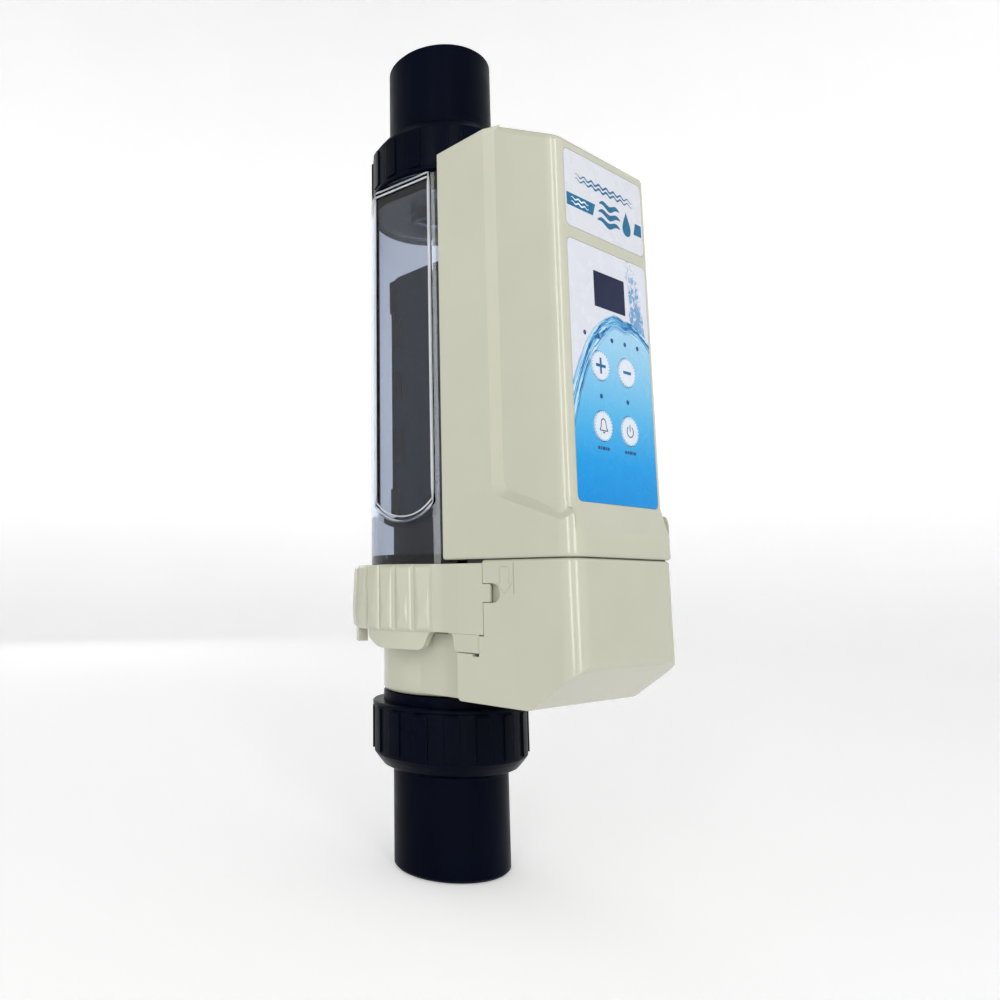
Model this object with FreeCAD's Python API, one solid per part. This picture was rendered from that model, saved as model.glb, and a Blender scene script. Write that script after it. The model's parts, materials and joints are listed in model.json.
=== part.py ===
import FreeCAD, Part
import math
import os

# Salt chlorine generator: a clear electrolytic cell between two pipe unions, with a control casing
# clipped in front of it.  Millimetres, +Z along the flow from inlet to outlet, -Y towards the keypad.
# The origin is the centre of the inlet socket's mouth.

V = FreeCAD.Vector

# ---- driving dimensions ---------------------------------------------------------------------------
TOTAL_HEIGHT = 449.2        # mouth to mouth
FIT = 0.05                  # radial clearance of a running fit
GAP = 0.3                   # clearance between bodies that move past each other

# pipe unions, measured from the socket's mouth
TAIL_R = 30.0
SOCKET_R = 25.15
SOCKET_DEPTH = 31.0
PASSAGE_R = 21.0
TAIL_FLANGE_R = 34.2
TAIL_FLANGE_Z = 54.5
TAIL_END_Z = 60.2
RING_R = 27.5
RING_SECTION = 1.6
RING_GROOVE = 2.6
NUT_R = 41.0
NUT_BODY_R = 40.1
NUT_Z0 = 48.8
NUT_Z1 = 82.6
NUT_SHOULDER = 7.8
NUT_PADS = 16
THREAD_R = 35.0
SPIGOT_Z0 = 60.9

# clear cell
CELL_R = 41.6
CELL_WALL = 3.4
CELL_IN_R = CELL_R - CELL_WALL
CELL_BASE_Z = 139.7
CELL_TUBE_Z = 153.9
CELL_TOP_Z = TOTAL_HEIGHT - NUT_Z1 - 0.5
CELL_CAP = 8.9
CELL_OUTLET_R = 14.5
CLAMP_FLANGE_R = 45.5
CLAMP_HALF_W = 36.2         # the clamped flanges are cut flat at this half width
WINDOW_TURN = 8.0           # degrees that each flat window is turned towards the front
WINDOW_DEPTH_R = 37.0
WINDOW_Z0 = 175.6
WINDOW_Z1 = 364.3
WINDOW_SAG = 9.0
WINDOW_RIM = 1.4            # width of the raised rim round each window
WINDOW_RIM_R = 37.8

# electrode
PLATE_PITCH = 6.6
PLATE_T = 1.0
PLATE_COUNT = 7
PLATE_Y0 = -19.0
PLATE_Y1 = 18.0
PLATE_Z0 = 177.5
PLATE_Z1 = 319.0
COMB_Z = ((210.0, 229.0), (246.0, 262.0), (278.0, 293.0))
COMB_CLIP_Z = ((181.0, 196.0), (298.0, 317.0))
COMB_HALF_W = 21.5
COMB_TOOTH = 6.0            # how far the teeth reach in between the plates
COMB_RAIL_T = 1.2
COMB_CLIP_T = 2.6
HEAD_R = 32.4
HEAD_Z1 = 150.2
BOSS_Z = (141.2, 150.8)
BUSBAR_T = 1.4
STUD_R = 3.0
STUD_X = 9.0
STUD_Z = 146.0
STUD_ENDS = ((-1, -12.0), (1, 0.0))

# clamp collar
COLLAR_R = 51.9             # crest of the ribs at mid height
COLLAR_BASE_R = 49.9
COLLAR_Z0 = 120.3
COLLAR_Z1 = 153.1
COLLAR_RIBS = 30
COLLAR_RIB_R = 6.5
COLLAR_FRONT_Y = -59.7
CHEEK_Y = -31.4             # where the flat cheek takes over from the ring
CHEEK_IN = 36.6
COLLAR_GROOVE_Z = (129.1, 149.3)
BOTTOM_LIP_R = 37.2
TONGUE_Z = 139.4
TONGUE_H = 8.2
TONGUE_LENGTH = 4.5
TONGUE_T = 1.3
SLOT_END_Y = -65.6
SKIRT_TAB_Z = 111.6
SKIRT_TAB_R = 49.6
SKIRT_TAB_AT = 191.0        # degrees from +X
REAR_TAB_Z = 113.6
REAR_TABS = ((27.0, 53.0), (78.0, 102.0), (127.0, 153.0))
CHEEK_TAB_Z = 111.8
CHEEK_TAB_Y = -56.5
DRAIN_LENGTH = 4.0
DRAIN_HEIGHT = 1.4

# lower housing and flow manifold
LOWER_HALF_W = 39.3
LOWER_FRONT_Y = -111.2
LOWER_REAR_Y = -43.0
LOWER_Z0 = 89.6
PARTING_Z = 155.0
SEAL_T = 0.4
NECK_R = 35.0
NECK_Z0 = 88.0
NECK_Z1 = 119.5
SHAFT_R = 31.0
SLOPE_Z = 108.7
SLOPE_Y = -85.0
CORNER_R = 8.5
EDGE_R = 1.6                # rounding of the two shells beside their joint
REAR_WALL_Y = (-51.0, -48.2)
REAR_TOP_Z = 151.8          # top of the walls behind the collar's front edge
REAR_HALF_W = 36.3
REAR_INNER_W = 33.6
ARROW_Y = (-75.3, -70.6)
ARROW_Z = (139.2, 151.2)

# screw posts, supply gland and flow switch
POST_X = 32.0
POST_Y = -68.0
POST_R = 4.0
POST_H = 16.0
GLAND_Y = -83.0
GLAND_Z = 124.0
GLAND_R = 8.0
GLAND_CAP_R = 9.2
GLAND_ACROSS = 19.0
GLAND_RIBS = 12
SWITCH_Z = 105.0
SWITCH_R = 9.0
PIVOT_Y = -16.5
PIN_R = 1.0

# control cover
COVER_HALF_W = 40.2
COVER_REAR_Y = -35.9
SKIRT_Y = -111.7
PANEL_HALF_W = 37.8
PANEL_Y = -108.2
PANEL_CORNER_R = 6.0
COVER_TOP_Z = 367.3
COVER_FRONT_TOP_Z = 347.6
COVER_SLOPE_Y = -74.5
FRAME_Y = -67.5             # crest of the frame's ramp beside the cell
SKIRT_CREST_Z = 168.1       # the same crest at the front corner, rising towards the cell
SKIRT_RISE = 0.37
SHOULDER_Z = (166.2, 179.5)
SHOULDER_R = 6.0
SKIRT_CORNER_R = 8.4
RAMP_DEPTH = 3.5
RAMP_WIDTH = 8.0
RAMP_BEND = 18.0
WALL = 2.4

# front panel layout
LABEL_HALF_W = 31.6
NAME_Z = (305.4, 343.2)
KEYPAD_Z = (179.0, 299.4)
OVERLAY_T = 0.5
DISPLAY_HALF_W = 12.5
DISPLAY_Z = (270.7, 288.1)
GRID_X = 10.6
BUTTON_R = 6.9
BUTTON_Z = (242.3, 214.2)
BUTTON_TRAVEL = 0.8
LED_Z = (256.2, 228.1)
LED_R = 1.1

BUTTON_NAMES = ("plus_button", "minus_button", "bell_button", "power_button")

# back plate of the casing
BACK_HALF_W = 37.8
BACK_Y0 = -38.6
BACK_Y1 = COVER_REAR_Y - 0.2
BACK_TOP_Z = 364.6
BACK_SCREW_X = 33.0
BACK_SCREW_Z = (186.0, 264.0, 350.0)
TROUGH_R = 42.1

# boards and what stands on them
CONTROL_BOARD_Y = -97.0
CONTROL_BOARD_Z = (190.0, 300.0)
CONTROL_POST_X = 31.0
CONTROL_POST_Z = (196.0, 294.0)
SWITCH_TOP = 4.6            # height of the small key switches above the control board
POWER_BOARD_Y = -50.0
POWER_BOARD_Z = (172.0, 342.0)
POWER_FACE_Y = POWER_BOARD_Y - 0.1
BOARD_T = 1.6
STANDOFF_X = 31.5
STANDOFF_Z = (205.0, 330.0)
CORE_Z = (196.0, 246.0)
HEAT_SINK_Z = (292.0, 336.0)
HEAT_SINK_FINS = 9
TERMINAL_Z = (176.0, 188.0)
LUG_Y = -61.9

# screws
SCREW_R = 1.5
SCREW_HEAD_R = 2.9
SCREW_HEAD_Z = 132.0


# ---- shape helpers --------------------------------------------------------------------------------
def box(x0, x1, y0, y1, z0, z1):
    return Part.makeBox(x1 - x0, y1 - y0, z1 - z0, V(x0, y0, z0))


def cyl(r, z0, z1, x=0.0, y=0.0):
    return Part.makeCylinder(r, z1 - z0, V(x, y, z0))


def xcyl(r, x0, x1, y, z):
    return Part.makeCylinder(r, x1 - x0, V(x0, y, z), V(1, 0, 0))


def ycyl(r, y0, y1, x, z):
    return Part.makeCylinder(r, y1 - y0, V(x, y0, z), V(0, 1, 0))


def tube(r_out, r_in, z0, z1):
    return cyl(r_out, z0, z1).cut(cyl(r_in, z0 - 1, z1 + 1))


def revolve(points):
    """Solid of revolution about Z from a closed outline of (radius, z) points."""
    wire = Part.makePolygon([V(r, 0, z) for r, z in points + points[:1]])
    return Part.Face(wire).revolve(V(0, 0, 0), V(0, 0, 1), 360)


def outline(points, radii, place):
    """Closed wire through 2D points, with each corner rounded by its radius."""
    if not isinstance(radii, (list, tuple)):
        radii = [radii] * len(points)
    count = len(points)
    stations = []
    for i, (a, b) in enumerate(points):
        here = V(a, b, 0)
        before = V(*points[i - 1], 0)
        after = V(*points[(i + 1) % count], 0)
        r = radii[i]
        if r <= 0:
            stations.append((here, here, here))
            continue
        u = (before - here).normalize()
        w = (after - here).normalize()
        half = u.getAngle(w) / 2
        reach = r / math.tan(half)
        middle = (u + w).normalize()
        centre = here + middle * (r / math.sin(half))
        stations.append((here + u * reach, centre - middle * r, here + w * reach))
    edges = []
    for i in range(count):
        start, mid, end = stations[i]
        following = stations[(i + 1) % count][0]
        if (start - end).Length > 1e-6:
            edges.append(Part.Arc(place(start), place(mid), place(end)).toShape())
        if (following - end).Length > 1e-6:
            edges.append(Part.LineSegment(place(end), place(following)).toShape())
    return Part.Wire(edges)


def slab_z(points, radii, z0, z1):
    wire = outline(points, radii, lambda p: V(p.x, p.y, z0))
    return Part.Face(wire).extrude(V(0, 0, z1 - z0))


def slab_x(points, radii, x0, x1):
    wire = outline(points, radii, lambda p: V(x0, p.x, p.y))
    return Part.Face(wire).extrude(V(x1 - x0, 0, 0))


def slab_y(points, radii, y0, y1):
    wire = outline(points, radii, lambda p: V(p.x, y0, p.y))
    return Part.Face(wire).extrude(V(0, y1 - y0, 0))


def rect(a0, a1, b0, b1):
    return [(a0, b0), (a1, b0), (a1, b1), (a0, b1)]


def fuse(shapes):
    first, rest = shapes[0], shapes[1:]
    return first.multiFuse(rest).removeSplitter() if rest else first


def both_sides(shape):
    """The shape and its mirror image in the X = 0 plane."""
    return [shape, shape.mirror(V(0, 0, 0), V(1, 0, 0))]


def flip(shape):
    """Move a piece of the inlet union to the outlet end."""
    turned = shape.copy()
    turned.rotate(V(0, 0, TOTAL_HEIGHT / 2), V(0, 1, 0), 180)
    return turned


def lead(points, bend, radius):
    """Round wire through the points, with tangent arcs at its corners."""
    stations = [(points[0], points[0], points[0])]
    for before, here, after in zip(points, points[1:], points[2:]):
        u = (before - here).normalize()
        w = (after - here).normalize()
        half = u.getAngle(w) / 2
        reach = bend / math.tan(half)
        middle = (u + w).normalize()
        centre = here + middle * (bend / math.sin(half))
        stations.append((here + u * reach, centre - middle * bend, here + w * reach))
    stations.append((points[-1], points[-1], points[-1]))
    edges = []
    for (start, mid, end), (following, _, _) in zip(stations, stations[1:] + stations[-1:]):
        if (start - end).Length > 1e-6:
            edges.append(Part.Arc(start, mid, end).toShape())
        if (following - end).Length > 1e-6:
            edges.append(Part.LineSegment(end, following).toShape())
    path = Part.Wire(edges)
    section = Part.Wire(Part.Circle(points[0], points[1] - points[0], radius).toShape())
    return path.makePipeShell([section], True, False)


def edges_near(shape, test):
    return [e for e in shape.Edges if test(e.BoundBox)]


def group(shapes):
    return Part.makeCompound(shapes)


def write(name, shape):
    solids = shape.Solids
    bad = [s for s in solids if not s.isValid() or s.Volume <= 0]
    print(f"{name:22s} solids {len(solids):3d}  volume {shape.Volume:12.1f}  bad {len(bad)}")
    shape.exportStep(f"parts/{name}.step")


# ---- pipe unions ----------------------------------------------------------------------------------
def tailpiece():
    body = revolve([
        (SOCKET_R, 0), (TAIL_R - 1.2, 0), (TAIL_R, 1.2), (TAIL_R, TAIL_FLANGE_Z),
        (TAIL_FLANGE_R, TAIL_FLANGE_Z), (TAIL_FLANGE_R, TAIL_END_Z), (PASSAGE_R, TAIL_END_Z),
        (PASSAGE_R, SOCKET_DEPTH), (SOCKET_R, SOCKET_DEPTH)])
    groove_half = RING_SECTION + 0.3
    groove = tube(RING_R + groove_half, RING_R - groove_half, TAIL_END_Z - RING_GROOVE, TAIL_END_Z + 1)
    return body.cut(groove)


def union_ring():
    return Part.makeTorus(RING_R, RING_SECTION, V(0, 0, TAIL_END_Z - RING_GROOVE + RING_SECTION + 0.05))


def union_nut():
    rim_z = NUT_Z1 - 2.6
    body = revolve([
        (TAIL_R + 0.4, NUT_Z0), (TAIL_R + 1.4, NUT_Z0), (TAIL_R + 5.5, NUT_Z0 + 2.0),
        (NUT_BODY_R - 1.6, NUT_Z0 + 5.6), (NUT_BODY_R, NUT_Z0 + NUT_SHOULDER), (NUT_BODY_R, rim_z),
        (NUT_R - 0.1, rim_z + 0.8), (NUT_R - 0.1, NUT_Z1 - 0.6), (NUT_R - 0.7, NUT_Z1),
        (THREAD_R + FIT, NUT_Z1), (THREAD_R + FIT, TAIL_FLANGE_Z - 0.4), (TAIL_R + 0.4, TAIL_FLANGE_Z - 0.4)])
    pads = []
    pad_half = 0.235 * 2 * math.pi * NUT_R / NUT_PADS
    for i in range(NUT_PADS):
        pad = slab_x(rect(-pad_half, pad_half, NUT_Z0 + NUT_SHOULDER + 1.0, rim_z - 0.6), 1.2,
                     NUT_BODY_R - 1.5, NUT_R + 1)
        pad.rotate(V(0, 0, 0), V(0, 0, 1), 360.0 * i / NUT_PADS)
        pads.append(pad)
    limit = tube(NUT_R, NUT_BODY_R - 1.0, NUT_Z0, NUT_Z1)
    raised = group(pads).common(limit)
    return fuse([body] + raised.Solids)


# ---- clear cell and electrode ---------------------------------------------------------------------
def clamp_trim(z0, z1):
    """Block that cuts a clamped flange flat at both sides."""
    return box(-CLAMP_HALF_W, CLAMP_HALF_W, -80, 80, z0, z1)


def stud_holes(y0):
    """Bores for the two studs, from y0 to where each stud ends."""
    return [ycyl(STUD_R + FIT, y0, end, side * STUD_X, STUD_Z) for side, end in STUD_ENDS]


def window_slab(grow, r0, r1):
    """Slab over the -X window: flat sides and top, an arc below, grown outwards by grow."""
    half = math.sqrt(CELL_R ** 2 - WINDOW_DEPTH_R ** 2)
    arc_r = (half ** 2 + WINDOW_SAG ** 2) / (2 * WINDOW_SAG) + grow
    arc_z = WINDOW_Z0 + arc_r - grow
    half += grow
    spring_z = arc_z - math.sqrt(arc_r ** 2 - half ** 2)
    straight = slab_x(rect(-half, half, spring_z, WINDOW_Z1 + grow), [0, 0, 1.5, 1.5], r0, r1)
    lower = xcyl(arc_r, r0, r1, 0, arc_z).common(box(r0, r1, -half, half, WINDOW_Z0 - 9, spring_z))
    slab = straight.fuse(lower)
    slab.rotate(V(0, 0, 0), V(0, 0, 1), -WINDOW_TURN)
    return slab


def window_rim():
    """Raised bead along the edge of a window."""
    outer = window_slab(WINDOW_RIM / 2, WINDOW_DEPTH_R - 1.2, WINDOW_RIM_R)
    return outer.cut(window_slab(-WINDOW_RIM / 2, WINDOW_DEPTH_R - 2, WINDOW_RIM_R + 1))


def cell_housing():
    spigot_z = TOTAL_HEIGHT - SPIGOT_Z0
    cap_z = CELL_TOP_Z - CELL_CAP
    seat_r = HEAD_R + 0.4
    tube_body = revolve([
        (0, CELL_TUBE_Z), (CELL_R, CELL_TUBE_Z), (CELL_R, CELL_TOP_Z - 2.0), (CELL_R - 2.0, CELL_TOP_Z),
        (THREAD_R, CELL_TOP_Z), (THREAD_R, spigot_z), (0, spigot_z)])
    base = fuse([cyl(CLAMP_FLANGE_R, CELL_BASE_Z, CELL_BASE_Z + 9.1), cyl(CELL_R, CELL_BASE_Z, CELL_TUBE_Z)])
    base = base.common(clamp_trim(CELL_BASE_Z - 1, CELL_TUBE_Z + 1))
    boss = box(-15, 15, -57.5, -38, *BOSS_Z)
    shell = fuse([tube_body, base, boss])
    for window in both_sides(window_slab(0, WINDOW_DEPTH_R, CELL_R + 5)):
        shell = shell.cut(window)
    # the cavity: a seat for the electrode, then a bore that follows the flat windows inside
    cavity = revolve([
        (0, CELL_BASE_Z - 1), (seat_r, CELL_BASE_Z - 1), (seat_r, HEAD_Z1 + 0.2),
        (CELL_IN_R, CELL_TUBE_Z + 4.5), (CELL_IN_R, cap_z - 2.0), (CELL_IN_R - 2.0, cap_z), (0, cap_z)])
    for window in both_sides(window_slab(CELL_WALL, WINDOW_DEPTH_R - CELL_WALL, CELL_R)):
        cavity = cavity.cut(window)
    outlet_boss = cyl(CELL_OUTLET_R + 3.0, cap_z - 7.0, CELL_TOP_Z)
    bell = revolve([(0, CELL_TOP_Z), (CELL_OUTLET_R, CELL_TOP_Z), (PASSAGE_R, spigot_z - 6),
                    (PASSAGE_R, spigot_z + 1), (0, spigot_z + 1)])
    shell = shell.cut(cavity).fuse(outlet_boss)
    shell = shell.cut(cyl(CELL_OUTLET_R, CELL_BASE_Z, CELL_TOP_Z + 1)).cut(bell)
    shell = shell.multiFuse(both_sides(window_rim()))
    for hole in stud_holes(-60):
        shell = shell.cut(hole)
    return shell.removeSplitter()


def plate_x():
    middle = (PLATE_COUNT - 1) / 2
    return [(i - middle) * PLATE_PITCH for i in range(PLATE_COUNT)]


def plate(x):
    half = PLATE_T / 2
    return slab_x(rect(PLATE_Y0, PLATE_Y1, PLATE_Z0, PLATE_Z1), 3.0, x - half, x + half)


def plate_slots():
    half = PLATE_T / 2 + FIT
    return [box(x - half, x + half, PLATE_Y0 - FIT, PLATE_Y1 + FIT, PLATE_Z0 - FIT, PLATE_Z1) for x in plate_x()]


def plate_combs():
    """An insulating comb on each long edge of the plates: a rail with teeth, and a clip at each end."""
    combs = []
    slots = plate_slots()
    for edge, out in ((PLATE_Y0, -1), (PLATE_Y1, 1)):
        def bar(depth_in, depth_out, z0, z1):
            y0, y1 = sorted((edge - out * depth_in, edge + out * depth_out))
            return box(-COMB_HALF_W, COMB_HALF_W, y0, y1, z0, z1)

        rail = bar(-FIT, COMB_RAIL_T, COMB_CLIP_Z[0][0], COMB_CLIP_Z[1][1])
        teeth = [bar(COMB_TOOTH, COMB_RAIL_T, z0, z1) for z0, z1 in COMB_Z]
        clips = [bar(COMB_TOOTH / 2, COMB_CLIP_T, z0, z1) for z0, z1 in COMB_CLIP_Z]
        combs.append(fuse([rail] + teeth + clips).cut(group(slots)))
    return group(combs)


def electrode_head():
    """Insulating carrier: a ring in the foot of the cell and a block that the plates stand in."""
    half = PLATE_PITCH * PLATE_COUNT / 2 + 0.6
    floor_z = CELL_BASE_Z + 1.3
    ring = tube(HEAD_R, HEAD_R - 3.0, floor_z, HEAD_Z1)
    block = slab_z(rect(-half, half, PLATE_Y0 - 0.5, PLATE_Y1 + 0.5), 2.0, HEAD_Z1 - 3.0, PLATE_Z0 + 2.0)
    bridge = box(-STUD_X - 6, STUD_X + 6, -HEAD_R, 4.0, floor_z, HEAD_Z1).common(cyl(HEAD_R, floor_z, HEAD_Z1))
    head = fuse([ring, block, bridge])
    for hole in stud_holes(-40):
        head = head.cut(hole)
    for slot in busbars().Solids + plate_slots():
        head = head.cut(slot)
    return head


def busbars():
    """Titanium strips under the plates: each touches every second plate and runs down to its stud."""
    bars = []
    for (side, y), first_missed in zip(STUD_ENDS, (1, 0)):
        x = side * STUD_X
        bar = box(-21.0, 21.0, y, y + BUSBAR_T, PLATE_Z0 - 6.0, PLATE_Z0 - FIT)
        for plate_at in plate_x()[first_missed::2]:
            bar = bar.cut(box(plate_at - 1.5, plate_at + 1.5, y - 1, y + 3, PLATE_Z0 - 2.0, PLATE_Z0 + 1))
        strip = box(x - 3.0, x + 3.0, y, y + BUSBAR_T, STUD_Z - STUD_R, PLATE_Z0 - 5.0)
        bars.append(bar.fuse(strip).removeSplitter())
    return group(bars)


def electrode_studs():
    """The second stud reaches further in, to the busbar of the other plates."""
    return group([ycyl(STUD_R, -68.0, end, side * STUD_X, STUD_Z) for side, end in STUD_ENDS])


def hex_prism_y(across, y0, y1, x, z):
    radius = across / math.sqrt(3)
    points = [(x + radius * math.cos(math.radians(60 * i)), z + radius * math.sin(math.radians(60 * i)))
              for i in range(6)]
    return slab_y(points, 0.3, y0, y1)


def stud_nuts():
    nuts = []
    for side in (-1, 1):
        for y0 in (-61.0, -66.0):
            nut = hex_prism_y(10.0, y0, y0 + 3.2, side * STUD_X, STUD_Z)
            nuts.append(nut.cut(ycyl(STUD_R + 0.01, y0 - 1, y0 + 5, side * STUD_X, STUD_Z)))
    return group(nuts)


# ---- clamp collar ---------------------------------------------------------------------------------
def ring_sector(r_out, r_in, a0, a1, z0, z1):
    """Part of a ring between two angles in degrees, measured from +X."""
    start, end = math.radians(a0), math.radians(a1)
    mid = (start + end) / 2

    def at(r, a, z=z0):
        return V(r * math.cos(a), r * math.sin(a), z)

    wire = Part.Wire([
        Part.Arc(at(r_out, start), at(r_out, mid), at(r_out, end)).toShape(),
        Part.LineSegment(at(r_out, end), at(r_in, end)).toShape(),
        Part.Arc(at(r_in, end), at(r_in, mid), at(r_in, start)).toShape(),
        Part.LineSegment(at(r_in, start), at(r_out, start)).toShape()])
    return Part.Face(wire).extrude(V(0, 0, z1 - z0))


def collar_envelope():
    """Barrel shape that the ribs are turned down to, with rounded rims."""
    mid = COLLAR_Z0 + 10.0
    return revolve([
        (0, COLLAR_Z0), (COLLAR_R - 1.9, COLLAR_Z0), (COLLAR_R - 0.6, COLLAR_Z0 + 1.6), (COLLAR_R, mid),
        (COLLAR_R - 1.0, COLLAR_Z1 - 1.6), (COLLAR_R - 2.0, COLLAR_Z1), (0, COLLAR_Z1)])


def skirt_tab():
    """Wide tab below the ribs on the -X side: it rises at the rear and runs out in an S-curve in front."""
    points = [(-19.1, COLLAR_Z0 + 1), (-19.1, SKIRT_TAB_Z + 4.9), (-10.0, SKIRT_TAB_Z), (15.2, SKIRT_TAB_Z),
              (18.6, COLLAR_Z0), (24.0, COLLAR_Z0), (24.0, COLLAR_Z0 + 1)]
    tab = slab_x(points, [0, 4.0, 12.0, 4.0, 2.5, 0, 0], 30.0, 60.0)
    tab.rotate(V(0, 0, 0), V(0, 0, 1), SKIRT_TAB_AT)
    return tab.common(tube(SKIRT_TAB_R, SKIRT_TAB_R - 4.0, SKIRT_TAB_Z - 1, COLLAR_Z0 + 2))


def cheek_tab():
    """Tab below the flat cheek, set back a little from it."""
    points = [(-37.0, COLLAR_Z0 + 1), (-37.0, COLLAR_Z0 - 0.4), (-39.8, COLLAR_Z0 - 0.4), (-40.9, CHEEK_TAB_Z),
              (CHEEK_TAB_Y, CHEEK_TAB_Z), (CHEEK_TAB_Y, COLLAR_Z0 + 1)]
    return slab_x(points, [0, 0, 1.5, 1.6, 0.6, 0], CHEEK_IN, LOWER_HALF_W - 0.5)


def clamp_collar():
    """U-shaped clip: a ribbed half ring behind the cell, and two flat cheeks with locking tongues."""
    half = LOWER_HALF_W
    step = 360.0 / COLLAR_RIBS
    rib_centre = COLLAR_R - COLLAR_RIB_R
    solids = [cyl(COLLAR_BASE_R, COLLAR_Z0, COLLAR_Z1)]
    for i in range(COLLAR_RIBS):
        angle = math.radians(step * (i + 0.5))
        x, y = rib_centre * math.cos(angle), rib_centre * math.sin(angle)
        if y > CHEEK_Y + 6.0:
            solids.append(cyl(COLLAR_RIB_R, COLLAR_Z0, COLLAR_Z1, x, y))
    body = fuse(solids).common(collar_envelope()).cut(box(-60, 60, -80, CHEEK_Y, 100, 160))
    plan = [(-half, COLLAR_FRONT_Y), (half, COLLAR_FRONT_Y), (half, CHEEK_Y), (half + 2.6, CHEEK_Y + 3.8),
            (30.0, -15.0), (-30.0, -15.0), (-half - 2.6, CHEEK_Y + 3.8), (-half, CHEEK_Y)]
    cheeks = slab_z(plan, [0, 0, 12.0, 0, 0, 0, 0, 12.0], COLLAR_Z0, COLLAR_Z1)
    tongue = slab_x(rect(COLLAR_FRONT_Y - TONGUE_LENGTH, COLLAR_FRONT_Y + 1, TONGUE_Z - TONGUE_H / 2,
                         TONGUE_Z + TONGUE_H / 2), [0.5, 0, 0, 0.5], half - TONGUE_T, half)
    rear_tabs = [ring_sector(COLLAR_R - 1.9, COLLAR_R - 6.9, a0, a1, REAR_TAB_Z, COLLAR_Z0 + 1)
                 for a0, a1 in REAR_TABS]
    extras = [cheeks] + rear_tabs + both_sides(tongue) + both_sides(cheek_tab()) + both_sides(skirt_tab())
    body = body.multiFuse(extras)
    # the inside: flange groove between a top lip and a bottom lip, and straight cheeks in front
    cut_cheeks = box(-CHEEK_IN, CHEEK_IN, -90, 0, 100, 160)
    groove = cyl(CLAMP_FLANGE_R + 0.6, *COLLAR_GROOVE_Z)
    top_lip = cyl(CELL_R + 0.5, COLLAR_GROOVE_Z[1] - 0.3, 160)
    bottom_lip = cyl(BOTTOM_LIP_R, 100, COLLAR_GROOVE_Z[0] + 0.3)
    for tool in (cut_cheeks, groove, top_lip, bottom_lip):
        body = body.cut(tool)
    return body.removeSplitter()


# ---- flow manifold, switch and lower housing ------------------------------------------------------
def inlet_spigot():
    return revolve([
        (PASSAGE_R, SPIGOT_Z0), (THREAD_R, SPIGOT_Z0), (THREAD_R, NECK_Z0 - 0.4), (27.5, NECK_Z0 - 0.4),
        (27.5, 94.0), (PASSAGE_R, 94.0)])


def flow_manifold():
    outer = fuse([cyl(SHAFT_R, NECK_Z0, NECK_Z1 + 1), cyl(CLAMP_HALF_W - 0.2, NECK_Z1 + 0.4, 130.0),
                  cyl(CLAMP_FLANGE_R, 129.5, CELL_BASE_Z - 0.2)])
    outer = outer.common(clamp_trim(NECK_Z0 - 1, CELL_BASE_Z + 1))
    inner = fuse([cyl(27.5 + 0.02, NECK_Z0 - 1, 94.1), cyl(PASSAGE_R, 90, 126), cyl(27.0, 125, CELL_BASE_Z + 1)])
    groove = tube(33.4, 29.6, CELL_BASE_Z - 0.2 - 2.9, CELL_BASE_Z + 1)
    seat = ycyl(SWITCH_R + 0.02, -60, -15, 0, SWITCH_Z)
    return outer.cut(inner).cut(groove).cut(seat)


def cell_base_ring():
    return Part.makeTorus(31.5, 1.5, V(0, 0, CELL_BASE_Z - 0.2 - 2.9 + 1.55))


def flow_switch_body():
    barrel = ycyl(SWITCH_R, -52.0, -21.6, 0, SWITCH_Z)
    flange = ycyl(SWITCH_R + 2.5, -56.0, -52.0, 0, SWITCH_Z)
    ears = [box(x0, x0 + 2.0, -22.5, PIVOT_Y + 2.6, SWITCH_Z - 2.6, SWITCH_Z + 2.6) for x0 in (-6.0, 4.0)]
    stop = box(-6.0, 6.0, -22.5, PIVOT_Y + 1.0, SWITCH_Z - 4.6, SWITCH_Z - 2.6)
    body = fuse([barrel, flange, stop] + ears)
    return body.cut(xcyl(PIN_R + 0.01, -10, 10, PIVOT_Y, SWITCH_Z))


def flow_paddle():
    hub = xcyl(2.2, -3.6, 3.6, PIVOT_Y, SWITCH_Z)
    arm = box(-3.0, 3.0, PIVOT_Y, -4.0, SWITCH_Z - 0.8, SWITCH_Z + 0.8)
    vane = cyl(9.0, SWITCH_Z - 0.8, SWITCH_Z + 0.8, 0, 4.0)
    return fuse([hub, arm, vane]).cut(xcyl(PIN_R + FIT, -10, 10, PIVOT_Y, SWITCH_Z))


def paddle_pin():
    return xcyl(PIN_R, -6.0, 6.0, PIVOT_Y, SWITCH_Z)


def lower_side_profile(offset):
    """Side outline (y, z) of the lower housing, moved inwards by offset."""
    top = PARTING_Z - SEAL_T
    return [(LOWER_REAR_Y - offset, LOWER_Z0 + offset), (SLOPE_Y + 0.3 * offset, LOWER_Z0 + offset),
            (LOWER_FRONT_Y + offset, SLOPE_Z + 0.5 * offset), (LOWER_FRONT_Y + offset, top),
            (LOWER_REAR_Y - offset, top)]


def lower_shell():
    """Outer form of the lower housing, with its top edge rounded towards the joint."""
    top = PARTING_Z - SEAL_T
    plan = rect(-LOWER_HALF_W, LOWER_HALF_W, LOWER_FRONT_Y, LOWER_REAR_Y)
    body = slab_z(plan, [CORNER_R, CORNER_R, 0, 0], LOWER_Z0, top)
    body = body.common(slab_x(lower_side_profile(0), [2.5, 6.0, 6.0, 0, 0], -50, 50))
    rim = edges_near(body, lambda b: b.ZMin > top - 0.1 and b.YMin < LOWER_REAR_Y - 1)
    return body.makeFillet(EDGE_R, rim)


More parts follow.
